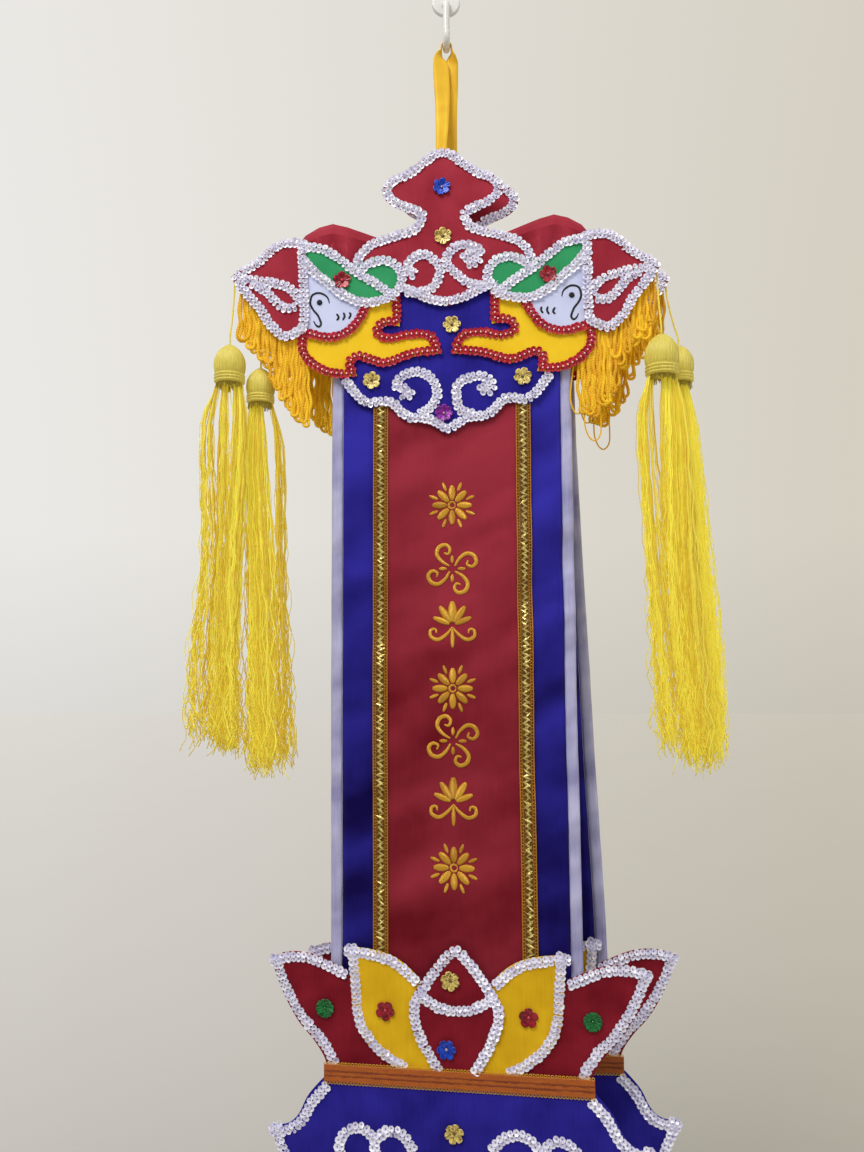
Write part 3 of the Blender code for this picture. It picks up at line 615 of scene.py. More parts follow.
class Surfaces:
    """Shells gathered into one mesh. Places are in millimetres."""

    def __init__(self) -> None:
        """Start with nothing."""
        self.points: list[Array] = []
        self.weaves: list[Array] = []
        self.corners: list[Array] = []
        self.sizes: list[Array] = []
        self.tones: list[Array] = []
        self.smooth: list[Array] = []
        self.count = 0

    def shells(
        self, points: Array, faces: list[Array], weave: Array | None,
        tones: Array | None = None, smooth: bool = True,
    ) -> None:
        """Add equal closed shells, turned so that their faces point outwards.

        A shell's volume is the sum, over the fans of its faces, of first · (next x after) / 6.

        Args:
            points: places of the corners, shells x corners x 3.
            faces: blocks of faces of one shell, each faces x corners.
            weave: pattern places of the same shape as points, or none for the points.
            tones: tone of each face, shells x faces, or none for a half.
            smooth: whether the faces are shaded as one curved surface.
        """
        many, each = points.shape[:2]
        first = points[0]
        volume = 0.0
        for block in faces:
            fan = np.cross(first[block[:, 1:-1]], first[block[:, 2:]])
            volume += float(np.sum(first[block[:, :1]] * fan))
        start = self.count + np.arange(many)[:, None, None] * each
        total = 0
        for block in faces:
            block = block[:, ::-1] if volume < 0 else block
            self.corners.append((block[None] + start).reshape(-1))
            self.sizes.append(np.full(many * len(block), block.shape[1]))
            part = np.full((many, len(block)), 0.5) if tones is None else tones[:, total:total + len(block)]
            self.tones.append(part.reshape(-1))
            self.smooth.append(np.full(many * len(block), smooth and block.shape[1] <= 4))
            total += len(block)
        self.points.append(points.reshape(-1, 3))
        self.weaves.append((points if weave is None else weave).reshape(-1, 3))
        self.count += many * each

    def loft(self, rings: Array, weave: Array | None = None) -> None:
        """Add a solid through rings of points, rows x columns x 3, capped at its ends."""
        flat = None if weave is None else weave.reshape(1, -1, 3)
        self.shells(rings.reshape(1, -1, 3), loft_faces(*rings.shape[:2]), flat)

    def slab(self, outer: Array, inner: Array, weave: Array | None = None, smooth: bool = True) -> None:
        """Add a sheet between two equal grids, rows x columns x 3."""
        points = np.concatenate((outer.reshape(-1, 3), inner.reshape(-1, 3)))[None]
        if weave is not None:
            weave = np.concatenate((weave.reshape(-1, 3), weave.reshape(-1, 3)))[None]
        self.shells(points, slab_faces(*outer.shape[:2]), weave, smooth=smooth)

    def tubes(
        self, paths: Array, radius: Array | float, sides: int, out: Triple,
        chance: Array | None = None, flat: float = 1.0,
    ) -> None:
        """Add equal threads along paths.

        A ring's point is the path's, plus the radius times (cosine x side + sine x out).

        Args:
            paths: threads x stations x 3.
            radius: radius of each thread and station, or one number.
            sides: corners of a ring.
            out: direction that the paths never run along.
            chance: a number from 0 to 1 for each thread.
            flat: height of the ring, as a share of its width.
        """
        many, stations = paths.shape[:2]
        run = unit(np.gradient(paths, axis=1))
        side = unit(np.cross(run, np.array(out)))
        lift = np.cross(side, run)
        turn = turns(sides)
        wide = np.broadcast_to(np.asarray(radius, float), (many, stations))[..., None, None]
        rings = paths[:, :, None] + wide * (
            np.cos(turn)[:, None] * side[:, :, None] + flat * np.sin(turn)[:, None] * lift[:, :, None]
        )
        step = np.linalg.norm(np.diff(paths, axis=1), axis=-1)
        along = np.concatenate((np.zeros((many, 1)), np.cumsum(step, 1)), 1)
        if chance is None:
            chance = np.full(many, 0.5)
        weave = join(along[:, :, None], turn / math.tau, chance[:, None, None])
        self.shells(rings.reshape(many, -1, 3), loft_faces(stations, sides), weave.reshape(many, -1, 3))

    def scatter(
        self, shape: "Small", spots: Array, chance: np.random.Generator, frames: Array | None = None,
    ) -> None:
        """Add a small shape at spots.

        A point is the spot plus the shape's place times the frame's three directions.

        Args:
            shape: the small shape.
            spots: many x 3.
            chance: source of the facets' tones.
            frames: many x 3 x 3, the directions of the shape's own axes, or none for upright.
        """
        many = len(spots)
        if frames is None:
            frames = np.broadcast_to(np.eye(3), (many, 3, 3))
        points = spots[:, None] + np.einsum("vk,nkj->nvj", shape.points, frames)
        faces = sum(len(block) for block in shape.faces)
        # The tones are painted sparkle: the shape's band tones plus a random tone for each shape and each
        # facet.
        tones = 0.35 * shape.tone + chance.random((many, 1)) * 0.25 + chance.random((many, faces)) * 0.4
        self.shells(points, shape.faces, None, tones, smooth=shape.smooth)

    def build(self, name: str, finish: Finish, place: Placer | None = None) -> bpy.types.Object:
        """Put the shells down as one object in metres.

        Args:
            name: the object's name.
            finish: its finish.
            place: turns a piece's own places into the banner's.

        Returns:
            The object.
        """
        points = np.concatenate(self.points)
        if place is not None:
            points = place(points)
        mesh = bpy.data.meshes.new(name)
        corners = np.concatenate(self.corners).astype(np.int32)
        sizes = np.concatenate(self.sizes)
        starts = np.concatenate(([0], np.cumsum(sizes)[:-1])).astype(np.int32)
        mesh.vertices.add(len(points))
        mesh.vertices.foreach_set("co", (points * MM).astype(np.float32).ravel())
        mesh.loops.add(len(corners))
        mesh.loops.foreach_set("vertex_index", corners)
        mesh.polygons.add(len(sizes))
        mesh.polygons.foreach_set("loop_start", starts)
        mesh.polygons.foreach_set("use_smooth", np.concatenate(self.smooth))
        weave = mesh.attributes.new("weave", "FLOAT_VECTOR", "POINT")
        weave.data.foreach_set("vector", np.concatenate(self.weaves).astype(np.float32).ravel())
        tone = mesh.attributes.new("tone", "FLOAT", "FACE")
        tone.data.foreach_set("value", np.concatenate(self.tones).astype(np.float32))
        mesh.update(calc_edges=True)
        mesh.validate()
        mesh.materials.append(finish.material())
        made = bpy.data.objects.new(name, mesh)
        bpy.context.scene.collection.objects.link(made)
        log.info("%s: %d faces", name, len(sizes))
        return made


def put(
    name: str, shapes: Surfaces, finish: Finish, place: Placer | None,
    stands_for: Sequence[str] = (),
) -> bpy.types.Object:
    """Build a piece, let it ride on the banner and hide the parts that it stands for."""
    made = shapes.build(name, finish, place)
    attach(made, "root")
    if stands_for:
        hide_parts(*stands_for)
    return made


@dataclass
class Small:
    """Small closed shape that is repeated."""

    points: Array
    faces: list[Array]
    smooth: bool = False
    tone: Array | float = 0.5

    @staticmethod
    def lozenge(length: float, width: float, height: float) -> "Small":
        """Long bead with eight facets."""
        size = np.array((length, width, height)) / 2
        points = np.concatenate((np.diag(size), -np.diag(size)))
        around = np.array((0, 1, 3, 4))
        ahead = np.roll(around, -1)
        return Small(points, [np.concatenate((join(around, ahead, 2), join(ahead, around, 5)))])

    @staticmethod
    def turned(
        profile: Sequence[Pair], sides: int, smooth: bool = False, tones: Sequence[float] = (),
    ) -> "Small":
        """Ring turned from a closed profile of radius and height, with a tone for each band."""
        table = np.array(profile)
        radius, height = table[:, :1], table[:, 1:]
        turn = turns(sides)
        rings = join(radius * np.cos(turn), radius * np.sin(turn), height)
        tone = np.repeat(tones, sides) if tones else 0.5
        return Small(rings.reshape(-1, 3), ring_faces(len(table), sides), smooth, tone)

    @staticmethod
    def ball(radius: float, sides: int, rows: int, squash: float = 1.0) -> "Small":
        """Bead, a little cut flat at its poles."""
        tilt = np.linspace(-0.46, 0.46, rows)[:, None] * math.pi
        turn = turns(sides)
        wide = radius * np.cos(tilt)
        rings = join(wide * np.cos(turn), wide * np.sin(turn), squash * radius * np.sin(tilt))
        return Small(rings.reshape(-1, 3), loft_faces(rows, sides), True)


def through(spots: Sequence[Sequence[float]], each: int = 8) -> Array:
    """Smooth line through spots.

    Between two spots it is the cubic whose slope at a spot is half the way from
    the spot before to the spot after.

    Args:
        spots: places of any number of columns.
        each: steps between two spots.

    Returns:
        Places along the line.
    """
    p = np.array(spots, float)
    wide = np.concatenate((2 * p[:1] - p[1:2], p, 2 * p[-1:] - p[-2:-1]))[:, None]
    before, start, end, after = wide[:-3], wide[1:-2], wide[2:-1], wide[3:]
    t = (np.arange(each) / each)[None, :, None]
    line = 0.5 * (
        2 * start + (end - before) * t + (2 * before - 5 * start + 4 * end - after) * t ** 2
        + (3 * start - before - 3 * end + after) * t ** 3
    )
    return np.concatenate((line.reshape(-1, p.shape[1]), p[-1:]))


def paced(line: Array, pace: float) -> Array:
    """The line's places at even steps, of about a pace."""
    along = measured(line)
    count = max(2, int(round(along[-1] / pace)) + 1)
    at = np.linspace(0.0, along[-1], count)
    return join(*(np.interp(at, along, column) for column in line.T))


# --- The two faces of the banner


@dataclass(frozen=True)
class Seat:
    """Where a stiff group sits: its own middle, height and tilt in degrees."""

    across: float
    height: float
    tilt: float


@dataclass(frozen=True)
class Face:
    """One face of the banner, and how its boards and cloth hang.

    Tables run upwards: heights with the depth at x = 0 and the turn in degrees,
    and heights with the cloth's middle. A crease is a soft valley: its middle
    across and up, length, turn in degrees, half width and depth. Creases fade out
    towards the two heights where the boards keep the cloth stiff.
    """

    name: str
    heights: tuple[float, ...]
    stands: tuple[float, ...]
    yaws: tuple[float, ...]
    middle_heights: tuple[float, ...]
    middles: tuple[float, ...]
    head: Seat
    lotus: Seat
    creases: tuple[tuple[float, ...], ...]
    stiff: Pair = (-938.0, -480.0)
    fade: float = 50.0
    turn_below: float = 20.0

    def yaw(self, z: Array | float) -> Array:
        """Turn at a height, in radians."""
        return np.radians(np.interp(z, self.heights, self.yaws))

    def depth_at(self, x: Array, z: Array) -> Array:
        """Depth in y of the hanging surface: the stand less x times the turn's tangent."""
        return np.interp(z, self.heights, self.stands) - x * np.tan(self.yaw(z))

    def board(self, seat: Seat) -> Placer:
        """Placer of a stiff group, turned by its tilt and laid on the face."""
        tilt = math.radians(seat.tilt)
        turn = float(np.cos(self.yaw(seat.height - self.turn_below)))

        def place(spots: Array) -> Array:
            """Board places to the banner's."""
            across, up, depth = spots.T
            x = seat.across + (across * math.cos(tilt) - up * math.sin(tilt)) * turn
            z = seat.height + across * math.sin(tilt) + up * math.cos(tilt)
            return join(x, self.depth_at(x, z) - depth, z)

        return place

    def crease(self, across: Array, height: Array) -> Array:
        """Depth of the cloth's creases, away from the room.

        Each is its depth times exp(-(off / width)^2 - (along / length)^2).
        """
        total = np.zeros_like(across)
        for x, z, length, angle, width, depth in self.creases:
            turn = math.radians(angle)
            dx = across - x
            dz = height - z
            along = dx * math.cos(turn) + dz * math.sin(turn)
            off = dz * math.cos(turn) - dx * math.sin(turn)
            total += depth * np.exp(-((off / width) ** 2) - (along / length) ** 2)
        low, high = self.stiff
        return total * np.clip((high - height) / self.fade, 0, 1) * np.clip((height - low) / self.fade, 0, 1)

    def cloth(self, spots: Array) -> Array:
        """Cloth places (across, height, depth) to the banner's."""
        across, height, depth = spots.T
        x = np.interp(height, self.middle_heights, self.middles) + across * np.cos(self.yaw(height))
        lift = depth - self.crease(across, height)
        return join(x, self.depth_at(x, height) - lift, height)


FRONT = Face(
    "front", (-1300, -942, -475, -100), (-68.2, -55.9, -39.8, -26.9), (8.0, 8.0, 1.5, 1.5),
    (-1076, -942, -733, -475, -330), (7.0, 6.2, 5.0, 4.7, 4.7),
    Seat(-5.0, -177.5, 1.2), Seat(7.8, -1085.8, 0.5),
    (
        (10, -545, 110, 25, 24, 3.0), (-20, -640, 130, 20, 28, 3.5),
        (95, -610, 70, 55, 20, 4.0), (25, -800, 120, 30, 30, 3.5),
        (95, -760, 80, 60, 22, 4.0), (-15, -880, 110, 15, 24, 3.0),
        (-95, -700, 90, 75, 20, 2.5),
        (30, -575, 60, 28, 11, 2.0), (-30, -604, 55, 20, 12, -1.7),
        (20, -655, 70, 18, 11, 2.1), (-35, -690, 50, 12, 12, -1.6),
        (90, -530, 40, 36, 9, 2.2), (96, -572, 40, 30, 10, -2.0),
        (92, -612, 42, 34, 9, 2.3), (94, -660, 40, 26, 10, -2.1),
        (90, -702, 40, 30, 10, 2.0), (25, -735, 60, 24, 12, 1.8),
        (0, -812, 80, 14, 11, 2.2), (94, -756, 45, 38, 9, -2.2),
        (96, -800, 50, 40, 10, 2.3), (92, -860, 45, 32, 10, -1.9),
        (-20, -900, 80, 12, 12, 2.0), (-92, -600, 40, -24, 10, 1.8),
        (-94, -700, 40, 30, 10, -1.8), (-96, -820, 45, -20, 11, 1.9),
    ),
)
BACK = Face(
    "back", (-1300, -942, -475, -100), (-22.0, -18.5, -10.0, -7.5), (4.0, 4.0, 0.5, 0.5),
    (-1076, -942, -733, -475, -330), (40.0, 35.0, 25.0, 14.0, 11.0),
    Seat(13.0, -178.0, 0.6), Seat(43.0, -1087.0, 0.3),
    (
        (90, -650, 110, 70, 24, 3.5), (60, -840, 120, 40, 26, 3.5),
        (-60, -720, 130, 25, 28, 3.0),
        (80, -560, 50, 40, 10, 1.8), (95, -720, 50, 36, 10, -1.8),
        (20, -780, 70, 24, 11, 1.9), (-40, -860, 60, 18, 11, -1.7),
        (0, -620, 70, 22, 11, 1.8), (96, -880, 50, 30, 10, 1.8),
    ),
)


# --- Stiff boards and their bead trim


@dataclass(frozen=True)
class Outline:
    """Closed outline of a board. Each spot is across and up, and a one where it is sharp."""

    spots: tuple[tuple[float, ...], ...]

    def mirrored(self) -> "Outline":
        """Whole outline of a shape whose right half runs from top to bottom."""
        left = tuple((-across, *rest) for across, *rest in reversed(self.spots) if across > 0)
        return Outline(self.spots + left)

    def flipped(self) -> "Outline":
        """The left-hand twin of a right-hand outline."""
        return Outline(tuple((-across, *rest) for across, *rest in self.spots))

    def curve(self, step: float) -> tuple[Array, Array]:
        """Closed curve through the spots, broken at the sharp ones.

        Between two spots it is the cubic whose slope follows the spots on either
        side, or the chord at a sharp spot.

        Args:
            step: distance between its points.

        Returns:
            The points, and the index of each spot's own point.
        """
        p = np.array([spot[:2] for spot in self.spots], float)
        sharp = np.array([[len(spot) > 2] for spot in self.spots])
        q = np.roll(p, -1, 0)
        chord = np.linalg.norm(q - p, axis=1, keepdims=True)
        leave = np.where(sharp, q - p, unit(q - np.roll(p, 1, 0)) * chord)
        reach = np.where(np.roll(sharp, -1, 0), q - p, unit(np.roll(p, -2, 0) - p) * chord)
        parts = np.maximum(1, np.round(chord[:, 0] / step)).astype(int)
        starts = np.concatenate(([0], np.cumsum(parts)[:-1]))
        own = np.repeat(np.arange(len(p)), parts)
        t = ((np.arange(len(own)) - starts[own]) / parts[own])[:, None]
        near = (2 * t ** 3 - 3 * t ** 2 + 1) * p[own] + (t ** 3 - 2 * t ** 2 + t) * leave[own]
        far = (3 * t ** 2 - 2 * t ** 3) * q[own] + (t ** 3 - t ** 2) * reach[own]
        return near + far, starts

    def side(self) -> float:
        """One where the outline runs anticlockwise, minus one where it doesn't."""
        p = np.array([spot[:2] for spot in self.spots], float)
        q = np.roll(p, -1, 0)
        return 1.0 if float(np.sum(p[:, 0] * q[:, 1] - q[:, 0] * p[:, 1])) > 0 else -1.0

    def run(self, first: int, last: int, insets: Pair) -> Array:
        """Line beside a stretch of the outline, on its inner side.

        Each point moves in by the inset along the outline's normal, and a point
        that comes nearer to the outline than its inset is left out.

        Args:
            first: the spot where the stretch starts.
            last: the spot where it ends, going on past the last spot if need be.
            insets: distance from the outline at its start and end.

        Returns:
            Points of the line.
        """
        points, starts = self.curve(1.0)
        begin = int(starts[first])
        end = int(starts[last])
        if first == last:
            index = np.arange(begin, begin + len(points) + 1) % len(points)
        else:
            index = np.arange(begin, end + 1 + (len(points) if end <= begin else 0)) % len(points)
        line = points[index]
        run = unit(np.gradient(line, axis=0))
        inward = join(-run[:, 1], run[:, 0]) * self.side()
        inset = np.linspace(*insets, len(line))[:, None]
        moved = line + inward * inset
        apart = np.linalg.norm(moved[:, None] - line[None], axis=-1).min(axis=1)
        return moved[apart > inset[:, 0] - 0.45]


@dataclass(frozen=True)
class Trim:
    """Strip of cup sequins sewn in pairs along a line, some with pearls between them.

    The lean and the cant are in degrees. The last rows are how far chance moves a
    sequin's lean, cant, place and size.
    """

    pace: float = 5.1
    spread: float = 2.0
    size: float = 3.15
    sides: int = 7
    lift: float = 0.55
    lean: float = 15.0
    cant: float = 11.0
    pearls: bool = False
    pearl: float = 0.95
    pearl_lift: float = 1.3
    lean_chance: float = 6.0
    cant_chance: float = 7.0
    place_chance: float = 0.22
    size_chance: float = 0.07

    def cup(self) -> Small:
        """Faceted cup with a hole, its rim a little turned out."""
        r = self.size
        profile = ((0.18 * r, -0.02 * r), (0.52 * r, 0.12 * r), (1.0 * r, 0.36 * r), (0.97 * r, 0.2 * r))
        # The bands' tones paint the cup: painted shade round the hole and under the rim, and a painted
        # highlight on the rim.
        return Small.turned(profile, self.sides, False, (0.1, 0.75, 1.0, 0.3))

    def sew(self, cups: Surfaces, pearls: Surfaces, line: Array, depth: float, seed: int) -> None:
        """Sew the strip along a line on a board.

        A pair's sequins stand at the line's place plus and minus the spread along
        its normal, leaning along the line and canted out.

        Args:
            cups: where the sequins go.
            pearls: where the beads between them go.
            line: points of the line, across and up.
            depth: the board's front.
            seed: start of the chance numbers.
        """
        chance = np.random.default_rng(seed)
        spots = paced(join(line[:, 0], line[:, 1], depth), self.pace)
        many = len(spots)
        run = unit(np.gradient(spots, axis=0))
        out = np.array(OUT, float)
        side = np.cross(out, run)
        base = spots + out * self.lift
        for sign in (-1.0, 1.0):
            lean = np.radians(self.lean + chance.normal(0, self.lean_chance, many))[:, None]
            cant = np.radians(-sign * self.cant + chance.normal(0, self.cant_chance, many))[:, None]
            ahead = run * np.cos(lean) + out * np.sin(lean)
            up = out * np.cos(lean) - run * np.sin(lean)
            beside = side * np.cos(cant) + up * np.sin(cant)
            up = up * np.cos(cant) - side * np.sin(cant)
            spin = chance.random(many)[:, None] * math.tau
            first = ahead * np.cos(spin) + beside * np.sin(spin)
            second = beside * np.cos(spin) - ahead * np.sin(spin)
            off = chance.normal(0, self.place_chance, (many, 3)) * np.array((1.0, 1.0, 0.4))
            axes = np.stack((first, second, up), 1) * chance.normal(1, self.size_chance, (many, 1, 1))
            cups.scatter(self.cup(), base + side * sign * self.spread + off, chance, axes)
        if self.pearls:
            # The pearls are pale pink beads whose finish gives out a painted glow.
            pearls.scatter(Small.ball(self.pearl, 7, 4), base + out * self.pearl_lift, chance)


CLEAR_TRIM = Trim()
RUBY_TRIM = Trim(pace=5.0, spread=2.0, size=3.0, lean=8.0, cant=4.0, pearls=True)


def outline_board(shapes: Surfaces, outline: Outline, near: float) -> None:
    """Board with a rolled rim.

    Its rings follow the outline, moved in by the first column of the profile and
    out to the room by the second.
    """
    points, _ = outline.curve(2.0)
    ahead = unit(np.roll(points, -1, 0) - points)
    behind = unit(points - np.roll(points, 1, 0))
    run = unit(ahead + behind)
    inward = join(-run[:, 1], run[:, 0]) * outline.side()
    profile = np.array(((0.5, 0.0), (0.14, 0.12), (0.0, 0.42), (0.0, 0.72), (0.16, 1.04), (0.55, LAYER)))
    rings = points + inward * profile[:, :1, None]
    shapes.loft(join(rings[..., 0], rings[..., 1], near + profile[:, 1:]))


RUYI = Outline((
    (0, 0), (13, -4.5), (24, -13.5), (37, -23), (51, -28.5), (60, -38),
    (60.5, -48), (52, -58.5), (37, -66), (25, -71, 1), (31, -81), (58, -89.5),
    (77, -97), (89, -110), (92, -120, 1), (70, -141), (44, -149), (21, -160), (0, -165),
)).mirrored()
CREST = Outline((
    (139.4, -93.5, 1), (120, -101.5), (105, -111.5), (90, -121), (75, -114), (64, -111.8),
    (53, -114.5), (44, -124), (43, -138), (50, -148.5), (68, -156), (84, -157.5),
    (97, -155.5), (111, -147), (126, -133), (139.4, -116, 1),
))
MANE = Outline((
    (140, -93.5, 1), (152, -91.5), (166, -93), (179, -101), (190, -112), (203, -119.5),
    (215.5, -129, 1), (206, -145), (190, -165), (177, -185), (160, -197), (143.5, -190, 1),
    (138, -176), (140, -150),
))
CHEEK = Outline((
    (77, -161, 1), (82.5, -173.5), (93, -187), (106, -194.5), (122, -195.5), (141, -190, 1),
    (148, -178), (149, -140), (147, -112), (138, -104, 1), (126, -121), (110, -138),
    (96, -147.5), (77, -150, 1),
))
BEAK = Outline((
    (46.5, -143, 1), (46, -160), (46, -184.5, 1), (55, -182.5), (63, -184), (66, -188.5),
    (62, -192.5), (52, -193.5), (40, -190.5), (27, -190), (16, -192.5), (9.5, -200),
    (5, -213.5, 1), (16, -214), (28, -215), (41, -218), (54, -222.5), (65, -224.5),
    (77, -220.5), (88, -216.5), (93, -221), (89.5, -234, 1), (104, -234.5), (117, -233),
    (128, -228), (137, -221.5), (144, -213), (147, -203), (146, -194), (141, -187, 1),
    (120, -185), (101, -180), (91, -165), (84, -150), (66, -145),
))
LAMBREQUIN = Outline((
    (0, -138), (84, -138, 1), (100, -168), (112, -192), (113, -222), (104.5, -241, 1),
    (98, -249.5), (90, -259.5), (78, -266.5), (66, -264.5), (57, -266), (49.5, -274.5),
    (38.5, -281.5), (20, -283.5), (0, -294),
)).mirrored()
PETAL_CENTRE = Outline((
    (0, 128.5, 1), (9, 121.5), (20, 109.5), (36, 87.5, 1), (42.5, 74), (43, 60),
    (37, 42), (29.5, 28), (17, 8.5, 1),
)).mirrored()
PETAL_INNER = Outline((
    (103, 122, 1), (78, 119.5), (62, 115.5), (48, 108), (35, 96.5, 1), (31, 70),
    (22, 40), (14, 8.5, 1), (42, 8.5, 1), (57, 14.5), (75, 26), (89, 41), (95.5, 54),
    (98.5, 72), (100, 95),
))
PETAL_OUTER = Outline((
    (177.5, 109, 1), (164, 113.5), (149, 114.5), (132, 111.5), (104, 100, 1), (92, 80),
    (80, 45), (50, 8.5, 1), (121, 8.5, 1), (126, 21), (136, 35), (149.5, 49.5),
    (160, 65.5), (167.5, 80), (173, 93),
))
WAIST_BAND = Outline(((-125, 0, 1), (-125, 15.3, 1), (125, 15.3, 1), (125, 0, 1)))
SKIRT = Outline((
    (0, 8), (120, 8, 1), (131, -3), (141, -15), (150, -32), (160, -40), (175.3, -42, 1),
    (173.5, -52), (167, -68), (160, -86), (148, -100), (131, -108), (115, -107, 1),
    (107, -121), (91, -131), (73, -135), (58, -132, 1), (50, -144), (32, -152), (0, -163, 1),
)).mirrored()


@dataclass(frozen=True)
class Board:
    """A stiff board of a group, single or in left and right twins."""

    name: str
    outline: Outline
    layer: int
    finish: Finish
    slot: str
    twins: bool

    def make(self, face: Face, seat: Seat) -> None:
        """Build the board, or both twins, in place of their solids."""
        twins = {"_right": self.outline, "_left": self.outline.flipped()}
        for ending, outline in (twins if self.twins else {"": self.outline}).items():
            shapes = Surfaces()
            outline_board(shapes, outline, self.layer * PITCH)
            node = f"{face.name}_{self.name}{ending}"
            put(f"{node}_satin", shapes, self.finish, face.board(seat), (node,))


class Bloom(Enum):
    """Flower sequins: petals, radius, notch, cup, crease, colour and its heart's."""

    GOLD = (6, 9.0, 0.28, 1.6, 0.9, DyeAndShade.PEARL_GOLD, DyeAndShade.INK)
    BLUE = (6, 9.0, 0.30, 1.9, 1.2, DyeAndShade.SAPPHIRE, DyeAndShade.PEARL)
    RED = (5, 9.0, 0.30, 1.5, 1.0, DyeAndShade.CRIMSON, DyeAndShade.RUBY)
    GREEN = (12, 8.8, 0.12, 1.6, 0.6, DyeAndShade.LEAF, DyeAndShade.LEAF)
    PURPLE = (8, 8.8, 0.24, 1.8, 1.0, DyeAndShade.MAGENTA, DyeAndShade.PEARL)

    def finish(self) -> Sequins:
        """The flower's own finish."""
        name = self.name.lower() + "_flower"
        return Sequins(name, self.value[5], rough=0.2, metal=0.2, coat=0.2, glow=0.04, shine=0.5)

    def heart(self) -> Sequins:
        """The finish of its middle."""
        return Sequins(self.name.lower() + "_heart", self.value[6], self.value[5].own_deep(), rough=0.12)

    def flower(
        self, petals: Surfaces, hearts: Surfaces, across: float, up: float, depth: float, seed: int,
    ) -> None:
        """Mould one flower and its heart.

        With c the cosine of half the petals' angle, without its sign, the edge is
        radius x (1 - notch x (1 - c)^2) and the height is
        cup x r^2 - crease x (1 - c)^2 x r + ridges, for r from the hole to the edge.
        """
        count, radius, notch, cup, crease = self.value[:5]
        chance = np.random.default_rng(seed)
        turn = turns(count * 12)
        lobe = np.abs(np.cos(count * turn / 2 + chance.random() * math.pi))
        edge = radius * (1 - notch * (1 - lobe) ** 2)
        r = np.array((0.13, 0.3, 0.5, 0.7, 0.88, 1.0, 0.98, 0.75, 0.45, 0.15))[:, None]
        under = np.array((0, 0, 0, 0, 0, 0.1, 0.35, 0.35, 0.35, 0.35))[:, None]
        height = cup * r ** 2 - crease * (1 - lobe) ** 2 * r + 0.22 * r * np.cos(turn * count * 3) - under
        rings = join(across + r * edge * np.cos(turn), up + r * edge * np.sin(turn), depth + 0.9 + height)
        faces = ring_faces(*rings.shape[:2])
        # Runs of three facets get a random tone, painted sparkle on the petals.
        tones = chance.random((1, len(faces[0]) // 3 + 1)).repeat(3, 1)[:, :len(faces[0])]
        petals.shells(rings.reshape(1, -1, 3), faces, None, tones)
        ball = Small.ball(1.9 if self is Bloom.RED else 1.35, 10, 6, 0.8)
        hearts.scatter(ball, np.array(((across, up, depth + 1.3),)), chance)


@dataclass
class Beadwork:
    """Everything sewn on the boards of one stiff group of a face."""

    face: Face
    seat: Seat
    title: str
    clear: Surfaces = field(default_factory=Surfaces)
    ruby: Surfaces = field(default_factory=Surfaces)
    pearls: Surfaces = field(default_factory=Surfaces)
    blooms: dict[Bloom, tuple[Surfaces, Surfaces]] = field(default_factory=dict)
    seed: int = 11

    def strip(self, line: Array, layer: int, ruby: bool = False) -> None:
        """Sew a strip of trim along a line on a board of a layer."""
        self.seed += 1
        trim, cups = (RUBY_TRIM, self.ruby) if ruby else (CLEAR_TRIM, self.clear)
        trim.sew(cups, self.pearls, line, layer * PITCH + LAYER, self.seed)

    def edge(
        self, outline: Outline, first: int, last: int, layer: int, insets: Pair = (4.3, 4.3),
        ruby: bool = False, twins: bool = False, band: Pair = (-900, 900),
    ) -> None:
        """Sew a strip along a stretch of an outline, and of its twin.

        Args:
            outline: the board's outline.
            first: spot where the strip starts.
            last: spot where it ends.
            layer: the board's layer.
            insets: distance in from the edge at the start and end.
            ruby: whether the strip is of red sequins with pearls.
            twins: whether the left-hand twin has it too.
            band: lowest and highest place that the strip may reach.
        """
        for shape in (outline, outline.flipped()) if twins else (outline,):
            line = shape.run(first, last, insets)
            self.strip(line[(line[:, 1] > band[0]) & (line[:, 1] < band[1])], layer, ruby)

    def line(self, spots: Sequence[Pair], layer: int, twins: bool = True) -> None:
        """Sew a strip of clear sequins on a smooth line through spots, and its twin."""
        path = through(spots)
        self.strip(path, layer)
        if twins:
            self.strip(path * np.array((-1.0, 1.0)), layer)

    def bloom(self, kind: Bloom, across: float, up: float, layer: int, twins: bool = False) -> None:
        """Sew on a flower sequin, and its twin."""
        petals, hearts = self.blooms.setdefault(kind, (Surfaces(), Surfaces()))
        for sign in (1, -1) if twins else (1,):
            self.seed += 1
            kind.flower(petals, hearts, sign * across, up, layer * PITCH + LAYER, self.seed)

    def put_down(self) -> None:
        """Build the sequins, pearls and flowers as pieces."""
        place = self.face.board(self.seat)
        start = f"{self.face.name}_{self.title}"
        put(f"{start}_clear_sequins", self.clear, CLEAR, place)
        if self.ruby.count:
            put(f"{start}_ruby_sequins", self.ruby, RUBY, place)
            put(f"{start}_pearls", self.pearls, PEARL, place)
        for kind, (petals, hearts) in self.blooms.items():
            put(f"{start}_{kind.name.lower()}_flowers", petals, kind.finish(), place)
            put(f"{start}_{kind.name.lower()}_hearts", hearts, kind.heart(), place)


